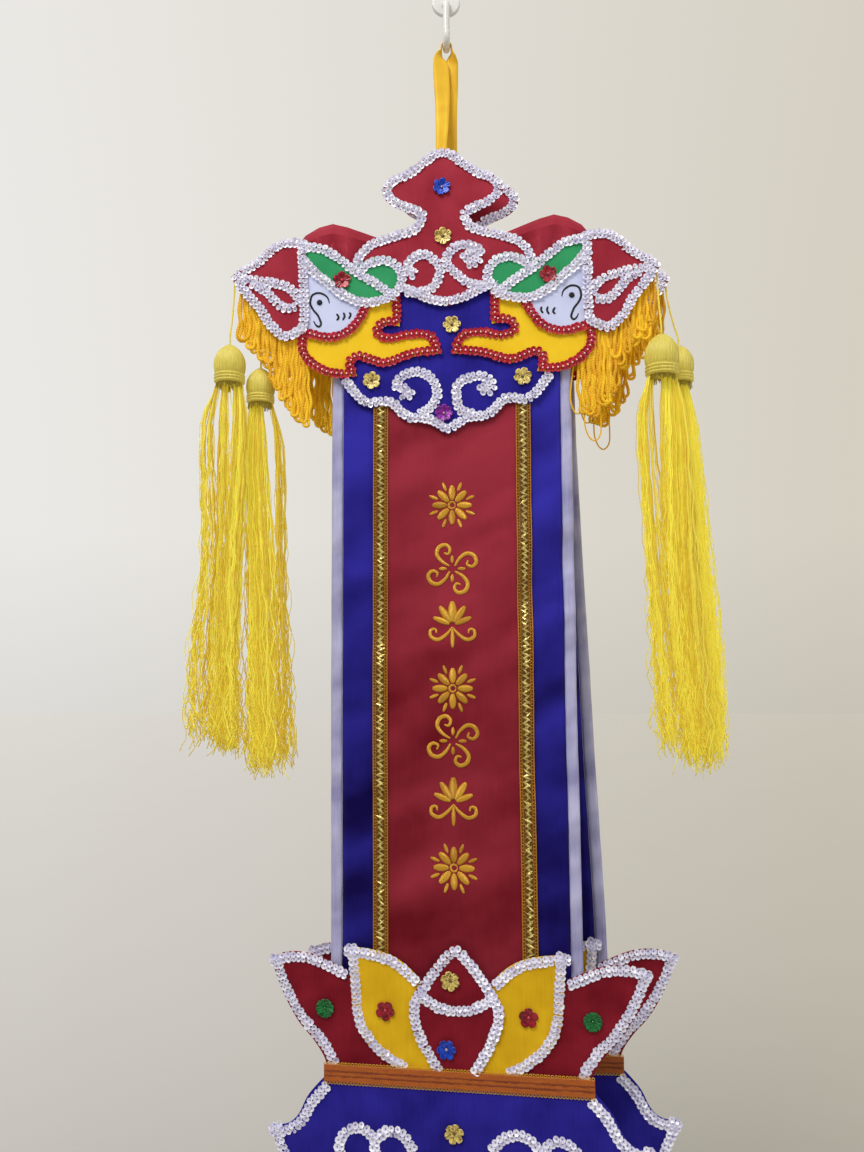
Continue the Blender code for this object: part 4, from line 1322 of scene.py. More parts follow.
@dataclass
class Head:
    """Stiff head of a face: cloud plaque, crests, white cheeks, manes, beaks and apron."""

    face: Face
    drawn_half: float = 1.05
    eye: float = 2.9
    boards: tuple[Board, ...] = (
        Board("lambrequin", LAMBREQUIN, 0, HEAD_BLUE, "blue_satin", False),
        Board("beak", BEAK, 1, YELLOW, "yellow_satin", True),
        Board("ruyi", RUYI, 2, HEAD_RED, "red_satin", False),
        Board("face", CHEEK, 2, WHITE, "white_satin", True),
        Board("mane", MANE, 3, HEAD_RED, "red_satin", True),
        Board("crest", CREST, 3, GREEN, "green_satin", True),
    )

    def scrolls(self, work: Beadwork) -> None:
        """Sew the curled lines on the plaque and the apron."""
        work.line((
            (-31, -128), (-34, -133), (-38, -125), (-35, -118), (-29, -114), (-21, -111), (-13, -115),
            (-7, -120), (-4, -128), (-6, -136), (-11, -145), (-18, -149), (-28, -151), (-38, -151),
        ), 2, False)
        work.line((
            (37, -111), (32, -106), (24, -103), (15, -103), (8, -107), (3, -113), (2, -120), (5, -126),
            (11, -132), (18, -138), (24, -143), (33, -145), (42, -145), (50, -144),
        ), 2, False)
        work.line(((20, -116), (26, -112), (32, -112), (35, -117), (30, -122), (24, -123)), 2, False)
        work.line((
            (-50, -247), (-48, -238), (-39, -233), (-30, -231), (-21, -234), (-15, -239), (-11, -247),
            (-10, -256), (-13, -263), (-20, -270), (-27, -274),
        ), 0, False)
        work.line(((-37, -251), (-41, -257), (-45, -252), (-40, -247)), 0, False)
        work.line((
            (23, -275), (12, -271), (9, -257), (11, -245), (22, -239), (34, -237), (43, -242), (44, -250),
            (38, -254), (34, -248),
        ), 0, False)

    def drawn_lines(self) -> None:
        """Sew the black eye, the line round it and the three short arcs."""
        place = self.face.board(self.face.head)
        front = 2 * PITCH + LAYER
        lines = Surfaces()
        eyes = Surfaces()
        eye_line = (
            (-116, -159), (-118, -153), (-123, -149), (-128, -148), (-133, -150), (-135, -155),
            (-135, -160), (-132, -166), (-128, -171), (-125, -178), (-125, -181), (-127, -183),
            (-130, -181), (-132, -177),
        )
        arcs = (
            ((-109, -170), (-107, -174), (-109, -177)), ((-102, -169), (-101, -173), (-103, -177)),
            ((-96, -169), (-95, -172), (-97, -176)),
        )
        for sign in (1.0, -1.0):
            for spots in (eye_line, *arcs):
                path = through(spots, 6)
                path = join(sign * path[:, 0], path[:, 1], front + 0.15)
                swell = np.minimum(1.0, np.sin(np.linspace(0.25, math.pi - 0.25, len(path))) * 1.8)
                lines.tubes(path[None], (self.drawn_half * swell)[None], 8, OUT, flat=0.6)
            eye = np.array(((sign * -126.0, -158.0, front + 0.2),))
            eyes.scatter(Small.ball(self.eye, 20, 9, 0.6), eye, np.random.default_rng(5))
        put(f"{self.face.name}_drawn_lines", lines, INK_LINE, place)
        put(f"{self.face.name}_eyes", eyes, INK_LINE, place)

    def build(self) -> None:
        """Build the head's boards and sew on its beads."""
        for board in self.boards:
            board.make(self.face, self.face.head)
        work = Beadwork(self.face, self.face.head, "head")
        work.edge(RUYI, 22, 14, 2)
        work.edge(RUYI, 16, 20, 2)
        work.line((
            (141, -100), (123, -103), (111, -110), (99, -120), (86, -130), (72, -139), (60, -148), (54, -154),
        ), 3)
        work.line((
            (84, -127), (76, -120), (62, -117), (50, -121), (43, -133), (45, -145), (53, -154), (66, -159),
            (79, -160), (92, -157), (104, -150), (119, -137), (129, -129), (140, -116),
        ), 3)
        work.edge(MANE, 0, 11, 3, twins=True)
        work.line((
            (200, -133), (192, -133), (181, -135), (173, -137), (164, -139), (156, -143), (150, -149),
            (146, -157),
        ), 3)
        work.line(((192, -138), (181, -144), (174, -152), (168, -159), (159, -164), (151, -163)), 3)
        work.line(((143, -96), (142.5, -125), (141.5, -156), (141.5, -172), (143.5, -186)), 3)
        work.edge(BEAK, 0, 28, 1, (3.0, 3.0), ruby=True, twins=True)
        work.edge(CHEEK, 13, 5, 2, (1.6, 1.6), ruby=True, twins=True, band=(-900, -160))
        work.edge(LAMBREQUIN, 5, 23, 0)
        self.scrolls(work)
        work.bloom(Bloom.BLUE, -1.0, -41.0, 2)
        work.bloom(Bloom.GOLD, -1.0, -93.0, 2)
        work.bloom(Bloom.RED, 103, -136.5, 3, True)
        work.bloom(Bloom.GOLD, 6.0, -184.0, 0)
        work.bloom(Bloom.GOLD, 75, -239.0, 0, True)
        work.bloom(Bloom.PURPLE, -4.0, -274.0, 0)
        work.put_down()
        self.drawn_lines()


@dataclass
class LotusSkirt:
    """Lotus of five petals over a beaded skirt, with the ribbon between them."""

    face: Face
    picot_pace: float = 3.3
    picot_heights: Pair = (-0.9, 16.2)
    boards: tuple[Board, ...] = (
        Board("petal_outer", PETAL_OUTER, 0, PETAL_RED, "red_satin", True),
        Board("petal_inner", PETAL_INNER, 1, LOTUS_YELLOW, "yellow_satin", True),
        Board("petal_centre", PETAL_CENTRE, 2, PETAL_RED, "red_satin", False),
        Board("skirt", SKIRT, 2, HEAD_BLUE, "blue_satin", False),
        Board("waist_ribbon", WAIST_BAND, 3, WAIST, "orange_ribbon", False),
    )

    def picots(self) -> None:
        """Row of small thread loops along both edges of the ribbon."""
        ring = Small.turned(((1.5, 0.0), (1.1, 0.45), (0.85, -0.35)), 8, True)
        across = np.arange(-124.0, 124.5, self.picot_pace)
        shapes = Surfaces()
        for up in self.picot_heights:
            shapes.scatter(ring, join(across, up, 3 * PITCH + 0.5), np.random.default_rng(3))
        place = self.face.board(self.face.lotus)
        put(f"{self.face.name}_waist_picots", shapes, PICOT, place, ())

    def build(self) -> None:
        """Build the lotus, the ribbon and the skirt, and sew on their beads."""
        for board in self.boards:
            board.make(self.face, self.face.lotus)
        self.picots()
        work = Beadwork(self.face, self.face.lotus, "lotus", seed=400)
        work.edge(PETAL_OUTER, 8, 0, 0, (7.5, 4.4), twins=True, band=(16, 900))
        work.edge(PETAL_OUTER, 0, 4, 0, (4.4, 4.4), twins=True)
        work.edge(PETAL_INNER, 8, 0, 1, (5, 4.4), twins=True, band=(16, 900))
        work.edge(PETAL_INNER, 0, 4, 1, (4.4, 4.4), twins=True)
        work.edge(PETAL_CENTRE, 9, 8, 2, band=(16.5, 900))
        work.line((
            (33.9, 81.9), (26.3, 76), (13.3, 70.4), (0, 68.6), (-13.3, 70.4), (-26.3, 76), (-33.9, 81.9),
        ), 2, False)
        work.edge(SKIRT, 1, 6, 2, (7.5, 4.6), band=(-900, -4))
        work.edge(SKIRT, 6, 32, 2, (4.6, 4.6))
        work.edge(SKIRT, 32, 37, 2, (4.6, 7.5), band=(-900, -4))
        work.line((
            (33, -49), (42, -40), (56, -36), (68, -41), (77, -52), (72, -68), (58, -76), (44, -70), (42, -58),
        ), 2, False)
        work.line((
            (-42, -54), (-49, -44), (-60, -40), (-70, -43), (-77, -53), (-72, -68), (-60, -74), (-50, -66),
        ), 2, False)
        work.line(((77, -47), (90, -39), (103, -43), (110, -54), (106, -69), (94, -76), (82, -70)), 2)
        work.bloom(Bloom.GOLD, -5.3, 95.4, 2)
        work.bloom(Bloom.BLUE, -9.3, 34.5, 2)
        work.bloom(Bloom.RED, 66.6, 65.6, 1, True)
        work.bloom(Bloom.GREEN, 124.7, 64.5, 0, True)
        work.bloom(Bloom.GOLD, -2.9, -38.4, 2)
        work.put_down()


# --- Cloth body


class Motif(Enum):
    """Generic ornaments stitched down the red strip."""

    ROSETTE = "rosette"
    CLOUDS = "clouds"
    BUD = "bud"

    def strokes(self) -> list[tuple[Array, float]]:
        """Lines of the ornament, each with its half width, about its own middle."""
        lines: list[tuple[Array, float]] = []
        if self is Motif.ROSETTE:
            for turn in turns(8):
                lines.append((self.turned(((5, 0), (12, 0), (19.5, 0)), turn), 3.6))
                lines.append((self.turned(((15, 0), (19, 0), (24, 0)), turn + math.tau / 16), 1.7))
            ring = np.arange(33) * math.tau / 32
            lines.append((join(3.2 * np.cos(ring), 3.2 * np.sin(ring)), 1.2))
        elif self is Motif.CLOUDS:
            curl = (
                (2.5, 2.5), (7, 10), (14, 15), (21, 13), (23.5, 6.5), (19.5, 2.2), (14.5, 4.0), (15.5, 8.2),
            )
            for turn in turns(4):
                lines.append((self.turned(curl, turn), 2.1))
                lines.append((self.turned(((5.5, 0), (9.5, 0), (13, 0)), turn), 1.8))
        else:
            leaves = ((0, 23, 4.4), (34, 22, 3.6), (-34, 22, 3.6), (68, 20, 2.9), (-68, 20, 2.9))
            for lean, reach, half in leaves:
                turn = math.radians(90 + lean)
                lines.append((self.turned(((3, 0), (reach * 0.6, 0), (reach, 0)), turn), half))
            for sign in (1, -1):
                curl = ((0, -2), (6, -9), (14, -14), (21, -11), (21, -5), (16.5, -4), (15.5, -8))
                lines.append((through(np.array(curl) * np.array((sign, 1.0)), 6), 1.9))
            lines.append((through(((0, -4), (0, -13), (0, -22)), 6), 2.1))
        return lines

    @staticmethod
    def turned(spots: Sequence[Pair], turn: float) -> Array:
        """Smooth line through spots, turned about the middle."""
        line = through(spots, 6)
        cos, sin = math.cos(turn), math.sin(turn)
        return line @ np.array(((cos, sin), (-sin, cos)))


@dataclass
class Body:
    """Long cloth body: blue satin, red strip, gold braids, bindings and ornaments.

    A braid lies over the red strip's edge. Half its tape, its rungs and its pairs
    of cords, each with radius and sides, are counted from its middle.
    """

    face: Face
    half: float = 119.0
    binding: float = 11.0
    red_half: float = 70.5
    top: float = -330.0
    foot: float = -1076.0
    tape: float = 7.0
    cords: tuple[tuple[float, float, int], ...] = ((6.8, 0.6, 6), (4.4, 0.4, 4))
    rung: float = 5.6
    braid_depth: float = -0.4
    ornament_heights: tuple[float, ...] = (-543, -606, -661, -722, -772, -830, -891)

    def strip(
        self, left: float, right: float, near: float, thick: float, step: float = 6.0, roll: float = 0.0,
    ) -> Surfaces:
        """Strip of cloth between two grids of (across, height, depth).

        Args:
            left: its left edge.
            right: its right edge.
            near: depth of its back.
            thick: its thickness.
            step: spacing of the grid.
            roll: how far its two long edges are rolled back.

        Returns:
            The strip.
        """
        across = np.linspace(left, right, max(3, int((right - left) / step) + 1))
        height = np.linspace(self.top, self.foot, int((self.top - self.foot) / step) + 1)
        across, height = np.meshgrid(across, height)
        edge = np.abs(across - (left + right) / 2) / ((right - left) / 2)
        shapes = Surfaces()
        shapes.slab(join(across, height, near + thick - roll * edge ** 6), join(across, height, near))
        return shapes

    def braid(self, name: str, middle: float) -> bpy.types.Object:
        """Gold braid: two ladders of cord beside a glittering zigzag, on a dark tape."""
        base = self.strip(middle - self.tape, middle + self.tape, near=-1.1, thick=0.5, step=4.6)
        node = f"{self.face.name}_braid_{name}"
        made = put(f"{node}_tape", base, BRAID, self.face.cloth, (node,))
        height = np.arange(self.top, self.foot, -4.0)
        trim = Surfaces()
        for shift, radius, sides in self.cords:
            pair = [join(middle + side * shift, height, self.braid_depth) for side in (-1, 1)]
            trim.tubes(np.stack(pair), radius, sides, OUT)
        rungs = np.arange(self.top, self.foot, -3.0)
        for shift in (-self.rung, self.rung):
            ends = [join(middle + shift + 1.2 * part, rungs, self.braid_depth) for part in (-1.0, 0.0, 1.0)]
            trim.tubes(np.stack(ends, 1), 0.57, 4, OUT)
        put(f"{node}_threads", trim, BRAID_CORD, self.face.cloth, ())
        # The glint lozenges get painted sparkle on their facets and a painted glow from their finish.
        glints = Surfaces()
        chance = np.random.default_rng(31)
        bead = Small.lozenge(9.6, 2.9, 1.8)
        for slope, shift in ((0.62, 0.0), (-0.62, -2.8)):
            heights = np.arange(self.top - 3.0 + shift, self.foot + 3.0, -5.6)
            spots = join(middle, heights, -0.1 - 0.1 * shift)
            spots[:, :2] += chance.normal(0, 0.3, (len(spots), 2))
            lean = slope + chance.normal(0, 0.15, len(spots))
            roll = chance.normal(0, 0.6, len(spots))
            first = join(np.cos(lean), np.sin(lean), 0.0)
            second = join(-np.sin(lean) * np.cos(roll), np.cos(lean) * np.cos(roll), np.sin(roll))
            glints.scatter(bead, spots, chance, np.stack((first, second, np.cross(first, second)), 1))
        put(f"{node}_glints", glints, BRAID_GLINT, self.face.cloth, ())
        return made

    def ornaments(self) -> None:
        """Stitch the generic ornaments down the middle of the red strip."""
        shapes = Surfaces()
        kinds = list(Motif)
        chance = np.random.default_rng(9)
        for index, height in enumerate(self.ornament_heights):
            for line, half in kinds[index % len(kinds)].strokes():
                path = paced(line, measured(line)[-1] / max(8, len(line)))
                swell = np.sin(np.linspace(0.18, math.pi - 0.18, len(path))) ** 0.6
                place = join(path[:, 0], height + path[:, 1], -1.15)
                shapes.tubes(place[None], (half * swell)[None], 8, OUT, chance.random(1), flat=0.34)
        put(f"{self.face.name}_ornaments", shapes, GOLD_STITCH, self.face.cloth)

    def build(self) -> None:
        """Build the body's layers."""
        name = self.face.name
        edge = self.half - self.binding - GAP
        cloth = put(
            f"{name}_body_cloth_satin", self.strip(-edge, edge, -4.0, LAYER), BODY_BLUE, self.face.cloth,
            (f"{name}_body_cloth",),
        )
        centre = put(
            f"{name}_body_centre_satin", self.strip(-self.red_half, self.red_half, -2.5, 1.1), BODY_RED,
            self.face.cloth, (f"{name}_body_centre",),
        )
        sewn = [centre, self.braid("right", self.red_half), self.braid("left", -self.red_half)]
        for side, left in (("right", self.half - self.binding), ("left", -self.half)):
            node = f"{name}_binding_{side}"
            shapes = self.strip(left, left + self.binding, near=-4.4, thick=2.0, step=2.2, roll=1.2)
            sewn.append(put(f"{node}_cloth", shapes, LAVENDER, self.face.cloth, (node,)))
        self.ornaments()
        2 * edge * MM
        (self.top - self.foot) * MM


# --- Fringes and tassels


@dataclass
class Fringe:
    """Looped yarn that hangs behind the mane's lower edge, with stray loops of thin cord.

    Each row has its depth. The table is places across with the loops' upper and
    lower ends there, and the last loop hangs at the last place.
    """

    face: Face
    side: str
    yarn: float = 1.7
    count: int = 11
    stations: int = 34
    last: float = 203.0
    rows: tuple[float, ...] = (-0.9, 0.3, 1.3)
    strays: tuple[tuple[Pair, ...], ...] = (
        (
            (126, -229), (123, -249), (122, -264), (126, -276), (132, -276), (137, -266), (138, -249),
            (138, -232),
        ),
        ((137, -245), (135, -284), (138, -299), (144, -305), (150, -299), (151, -285), (150, -262)),
    )
    table: tuple[Triple, ...] = (
        (130, -217, -285), (138, -210, -283), (148, -197, -275), (160, -190, -262), (170, -183, -246),
        (175, -178, -224), (182, -170, -217), (190, -158, -208), (198, -149, -199), (205, -141, -188),
    )

    def build(self) -> None:
        """Hang the loops in rows, one behind the other, under a tape.

        A loop goes down one leg, round its half-circle end and up the other leg,
        and it wavers across and in depth with its height.
        """
        table = np.array(self.table, float)
        sign = 1.0 if self.side == "right" else -1.0
        first = 140.0 if self.face is FRONT and sign < 0 else 133.0
        chance = np.random.default_rng(21 if self.side == "right" else 22)
        shapes = Surfaces()
        count = self.count
        for row, depth in enumerate(self.rows):
            middle = first + (np.arange(count) + 0.5 + 0.33 * row) * ((self.last - first) / count)
            middle = middle + chance.normal(0, 1.3, count)
            top = np.interp(middle, table[:, 0], table[:, 1]) + 5.0
            end = np.interp(middle, table[:, 0], table[:, 2]) + chance.uniform(-5, 9, count) + 1.5
            half = chance.uniform(2.6, 5.4, count)
            t = np.linspace(0, 1, self.stations)
            leg = np.clip(np.where(t < 0.5, t / 0.42, (1 - t) / 0.42), 0, 1)
            arc = np.clip((t - 0.42) / 0.16, 0, 1) * math.pi
            open_out = 0.35 + 0.65 * leg ** 0.6
            x = middle[:, None] - half[:, None] * np.cos(arc) * open_out
            reach = (top - end - half)[:, None]
            z = top[:, None] - reach * leg - half[:, None] * np.sin(arc)
            phase = chance.random((2, count, 1)) * math.tau
            loose = np.clip((top[:, None] - z) / 30, 0, 1)
            sway = chance.normal(0, 1.8, (count, 1)) * loose * loose
            x = x + sway + 1.0 * loose * np.sin(z / 4.6 + phase[0])
            x = x + 1.1 * loose * np.sin(z / 11 + phase[1] * 2)
            inner = np.clip((150 - middle) / 12, 0, 1)[:, None]
            y = depth + (0.7 * loose * np.sin(z / 3.1 + phase[1])) - inner * max(depth, 0) * 1.3
            shapes.tubes(join(sign * x, z, y), self.yarn, 5, OUT, chance.random(count))
        for spots in self.strays if sign > 0 else ():
            path = through(spots, 9)
            shapes.tubes(join(path[:, 0], path[:, 1], -1.6)[None], 0.75, 6, OUT)
        across = np.linspace(131, 204, 40)
        edges = np.interp(across, table[:, 0], table[:, 1]) + np.array(((7.0,), (-1.0,)))
        shapes.slab(join(sign * across, edges, 0.9), join(sign * across, edges, 0.1))
        node = f"{self.face.name}_fringe_{self.side}"
        put(f"{node}_yarn", shapes, FRINGE_YARN, self.face.board(self.face.head), (node,))


@dataclass
class Tassel:
    """Tassel of fine threads that hang in locks under a wound head, on its cord.

    The profile is distances down from the head's top with its radius there.
    """

    name: str
    face: Face
    reach: float
    head: Triple
    end: Pair
    girth: float
    locks: tuple[tuple[float, ...], ...]
    threads: int = 336
    strands: int = 44
    stations: int = 31
    thread: float = 0.47
    spread: float = 30.0
    room: float = 14.0
    cut_threads: int = 150
    cord: float = 0.9
    profile: tuple[Pair, ...] = (
        (0, 1.1), (1, 3.4), (3, 6.5), (6, 9.7), (10, 12.4), (15, 14.6), (21, 15.3), (26, 15.0),
        (29.5, 14.2), (30.4, 13.4), (31.0, 14.6), (31.9, 15.3), (32.9, 14.9), (33.5, 13.7), (34.1, 14.9),
        (35.0, 15.5), (36.0, 15.0), (36.6, 13.8), (37.1, 14.8), (38.0, 15.3), (39.0, 14.7), (39.6, 13.4),
        (39.6, 9.0),
    )

    def thread_paths(self) -> tuple[Array, Array]:
        """Paths of the threads, and the tone of each.

        A lock of the table runs through its places across at five levels. Its other
        columns are its radius, how much higher it ends and its share of the strands.
        A strand keeps a place in its lock and its threads share a long wave and a
        crimp. Each thread frizzes out by itself in its last quarter. Past the spread
        to either side, threads crowd together in the room that is left there.

        Returns:
            Threads x stations x 3, and a number for each thread.
        """
        chance = np.random.default_rng(sum(map(ord, self.name)))
        many = self.threads
        level = 1 - (1 - np.linspace(0, 1, self.stations)) ** 1.25
        table = np.array(self.locks)
        counts = np.maximum(2, np.round(self.strands * table[:, 7] / table[:, 7].sum())).astype(int)
        lock = np.repeat(np.arange(len(table)), counts)
        own = chance.integers(0, len(lock), many)
        lock = lock[own]
        lines = []
        for row in table:
            line = through(join((0, 0.15, 0.5, 0.8, 1.0), row[:5]), 8)
            lines.append(np.interp(level, line[:, 0], line[:, 1]))
        middle = np.array(lines)[lock]
        turn, far, tone, *phase = chance.random((8, counts.sum()))[:, own, None]
        reach = table[lock, 5:6] * np.sqrt(far)
        size = np.interp(level, (0, 0.12, 0.5, 1.0), (0.3, 0.75, 1.0, 1.1))
        stray = np.where(chance.random((many, 1)) < 0.3, 3.4, 1.0)
        loose = chance.normal(0, 1, (2, many, 1)) * stray * (0.4 + 1.1 * level)
        off_x = reach * np.cos(turn * math.tau) * size + loose[0]
        off_y = reach * np.sin(turn * math.tau) * size * 0.8 + loose[1] * 0.8
        bound = 12.4 * self.girth
        over = np.maximum(np.hypot(middle[:, :1] + off_x[:, :1], off_y[:, :1]) / bound, 1.0)
        leave = np.clip(level / 0.1, 0, 1)
        x = (middle + off_x) * (leave + (1 - leave) / over)
        y = off_y * (leave + (1 - leave) / over)
        own_phase = chance.random((3, many, 1)) * math.tau
        swing = 2.2 * level ** 0.7 * np.sin(level * (5 + 4 * phase[0]) + phase[1] * math.tau)
        wave = level * (46 + 12 * phase[2]) + phase[3] * math.tau + own_phase[0] * 0.12
        crimp = (0.4 + 1.0 * level) * np.sin(wave)
        frizz = np.clip((level - 0.74) / 0.26, 0, 1) ** 1.4
        curl = (0.9 * stray * level + 2.8 * frizz) * np.sin(level * (38 + 3 * own_phase[1]) + own_phase[2])
        few = chance.random((many, 1)) < 0.1
        wisp = np.where(few, chance.normal(0, 8, (many, 1)).clip(-12, 12), 0.0) * level ** 2
        out = x + swing + crimp + curl + wisp
        beyond = (np.abs(out) - self.spread).clip(0)
        held = np.abs(out) - beyond + self.room * np.tanh(beyond / self.room)
        x = self.head[0] + np.sign(out) * held
        y = self.head[1] + y + (self.end[0] - self.head[1]) * level ** 0.8
        y = y + 0.8 * level * np.sin(level * 50 + phase[4] * math.tau)
        y = y + 2.0 * frizz * np.cos(level * 60 + own_phase[1])
        top = self.head[2] - 38.5 * self.girth
        low = self.end[1] + table[lock, 6] + chance.normal(0, 8, many)
        low = low + 50 * (chance.random(many) - 0.75).clip(0)
        z = top + (low[:, None] - top) * level + 1.8 * frizz * np.sin(level * 70 + own_phase[0])
        tones = 0.5 + 1.7 * (0.65 * tone[:, 0] + 0.35 * chance.random(many) - 0.5)
        return join(x, y, z), tones

    def stubs(self) -> Array:
        """Short cut threads inside the mouth of the head."""
        chance = np.random.default_rng(8)
        turn = np.arange(self.cut_threads) * math.tau * 0.382
        radius = 12.2 * self.girth * np.sqrt(chance.random(self.cut_threads) * 0.5 + 0.5)
        level = np.linspace(0, 1, 4)
        top = self.head[2] - 37.0 * self.girth
        x = self.head[0] + (radius * np.cos(turn))[:, None] * (1 + 0.12 * level)
        y = self.head[1] + (radius * np.sin(turn))[:, None] * (1 + 0.05 * level)
        z = top - chance.uniform(4, 9, (self.cut_threads, 1)) * level
        return join(x, y, z)

    def build(self) -> None:
        """Build the tassel and its cord."""
        node = f"tassel_{self.name}"
        x, y, z = self.head
        table = np.array(self.profile)
        turn = turns(99)
        down = table[:, :1]
        rib = 1 + 0.035 * np.cos(33 * turn + 0.6 * np.sin(3 * turn)) * np.clip(down / 6, 0, 1) * (down < 30)
        radius = table[:, 1:] * self.girth * rib
        rings = join(x + radius * np.cos(turn), y + radius * np.sin(turn), z - down * self.girth)
        head = Surfaces()
        head.loft(rings, join(turn * 14, down / 60, 0.5))
        # A chance of -0.3 paints the stubs darker, painted shade inside the mouth of the head.
        head.tubes(self.stubs(), 0.5, 3, TO_WALL, np.full(self.cut_threads, -0.3))
        put(f"{node}_head", head, TASSEL_HEAD, None, (node,))
        shapes = Surfaces()
        paths, tones = self.thread_paths()
        shapes.tubes(paths, self.thread, 3, TO_WALL, tones)
        put(f"{node}_threads", shapes, TASSEL_YARN, None, (node,))
        behind = 3 * PITCH - GAP - self.cord
        top = self.face.board(self.face.head)(np.array(((self.reach, -128.0, behind),)))[0]
        spots = (top, top - (0, 0, 18.0), (top + (x, y, z)) / 2 - (0, 0, 9.0), (x, y, z + 8), (x, y, z - 1))
        route = through(np.array(spots), 8)
        rope = Surfaces()
        rope.tubes(route[None], self.cord, 8, TO_WALL)
        cord = put(f"{node}_cord", rope, TASSEL_CORD, None, (node,))
        2 * self.cord * MM


# --- Hook, loop and gussets


@dataclass
class WallHook:
    """Plain white hook: a turned plate and a J-shaped prong."""

    prong_radius: float = 3.6
    stem: float = -12.0
    bend: float = 8.5
    bottom: float = -62.0
    tip: float = -47.0

    def plate(self) -> None:
        """Turn the plate: a profile of distance from the wall and radius round y."""
        profile = np.array((
            (0.0, 14.5), (0.25, 14.9), (0.7, 15.0), (3.0, 15.0), (3.5, 14.9), (3.95, 14.6), (4.3, 14.15),
            (4.48, 13.6), (4.5, 12.9), (4.5, 6.0),
        ))
        turn = turns(96)
        out, radius = profile[:, :1], profile[:, 1:]
        shapes = Surfaces()
        shapes.loft(join(radius * np.cos(turn), -out, radius * np.sin(turn)))
        put("hook_plate_turned", shapes, PLASTIC, None, ("hook_plate",))

    def prong(self) -> None:
        """Sweep the prong: rings along its route, wider at the plate and rounded at the tip."""
        floor = self.bottom + self.bend
        saddle = self.stem - self.bend
        route = [(-4.55, -4.0), (-7.5, -4.0), (-10.2, -5.7), (-11.6, -8.7), (self.stem, -12.5)]
        route += [(self.stem, z) for z in (-22.0, -33.0, -44.0)]
        half_turn = np.linspace(0, math.pi, 13)
        route += list(zip(saddle + self.bend * np.cos(half_turn), floor - self.bend * np.sin(half_turn)))
        route += [(saddle - self.bend, z) for z in np.linspace(floor + 2.0, self.tip, 6)[:-1]]
        line = paced(through(route, 6), 0.9)
        path = join(0.0, line[:, 0], line[:, 1])
        along = measured(path)
        left = np.clip((along[-1] - along) / self.prong_radius, 0, 1)
        radius = self.prong_radius * np.sqrt(np.clip(1 - (1 - left) ** 2, 0.02, 1))
        radius = radius + 1.0 * np.exp(-along / 1.6)
        shapes = Surfaces()
        shapes.tubes(path[None], radius[None], 28, TO_RIGHT)
        put("hook_prong_swept", shapes, PLASTIC, None, ("hook_arm",))

    def build(self) -> None:
        """Build the hook."""
        self.plate()
        self.prong()


@dataclass
class HangingLoop:
    """One satin ribbon from the front head, over the prong, to the back head."""

    thick: float = 1.2
    saddle: float = -20.5
    narrowest: float = 5.0

    def stations(self) -> Array:
        """Places, turn in degrees and width of the ribbon along its way.

        It lies in the prong's bend as high as its narrowest half width needs.
        """
        hook = WallHook()
        hollow = hook.bend - hook.prong_radius
        rise = hollow - math.sqrt(hollow ** 2 - (self.narrowest / 2) ** 2)
        crown = hook.prong_radius + GAP + self.thick / 2 + rise
        front = float(FRONT.depth_at(-7.0, -204.0)) - 2 * PITCH + GAP + self.thick / 2
        back = float(BACK.depth_at(7.0, -204.0)) - 2 * PITCH + GAP + self.thick / 2
        saddle = self.saddle
        shift = back - saddle
        rows = [
            (-6.6, front, -204.0, 0, 10.5), (-5.6, front + 1.2, -176.0, 0, 11.2),
            (-4.6, saddle - 8, -150.0, 0, 13.0), (-4.2, saddle - 4, -122.0, 0, 15.2),
            (-4.8, saddle - 3, -103.0, 2, 16.2), (-5.6, saddle - 2.4, -86.0, 8, 16.4),
            (-6.2, saddle - 1.8, -77.0, 22, 15.2), (-6.2, saddle - 0.6, -71.0, 52, 12.6),
            (-crown - 0.4, saddle, -66.5, 82, 8.5),
        ]
        for step in range(9):
            turn = math.pi * (1 - step / 8)
            top = hook.bottom + crown * math.sin(turn)
            rows.append((crown * math.cos(turn), saddle, top, 90, self.narrowest))
        rows += [
            (crown + 0.4, saddle, -66.5, 98, 8.5), (5.6, saddle + 1.0, -71.0, 128, 12.0),
            (5.4, saddle + 2.4, -77.0, 158, 14.0), (5.2, saddle + 2.8, -86.0, 172, 14.4),
            (5.0, saddle + 3.0, -103.0, 177, 14.2), (4.8, saddle + 0.15 * shift + 2.4, -122.0, 179, 13.2),
            (5.2, saddle + 0.5 * shift, -150.0, 180, 12.0), (6.0, back + 1.0, -176.0, 180, 11.0),
            (6.6, back, -204.0, 180, 10.5),
        ]
        return np.array(rows, float)

    def build(self) -> None:
        """Loft the ribbon: its width turns about the way, with a soft fold along its middle."""
        line = through(self.stations(), 6)
        place, turn, width = line[:, :3], np.radians(line[:, 3]), line[:, 4]
        run = unit(np.gradient(place, axis=0))
        broad = join(np.cos(turn), np.sin(turn), 0.0)
        broad = unit(broad - run * np.sum(run * broad, -1, keepdims=True))
        thin = np.cross(run, broad)
        across = np.array((-1, -0.96, -0.6, -0.2, 0.2, 0.6, 0.96, 1, 0.96, 0.6, 0.2, -0.2, -0.6, -0.96))
        over = np.array((0, 1, 1, 1, 1, 1, 1, 0, -1, -1, -1, -1, -1, -1)) * self.thick / 2
        fold = 0.28 * np.sin(across * 4.0)
        rings = place[:, None] + broad[:, None] * (width[:, None, None] / 2 * across[:, None])
        rings = rings + thin[:, None] * (over + fold)[:, None]
        along = measured(place)
        shapes = Surfaces()
        shapes.loft(rings, join(across * 6, along[:, None], 0.0))
        made = put("loop_ribbon", shapes, LOOP, None, ("hanging_loop",))


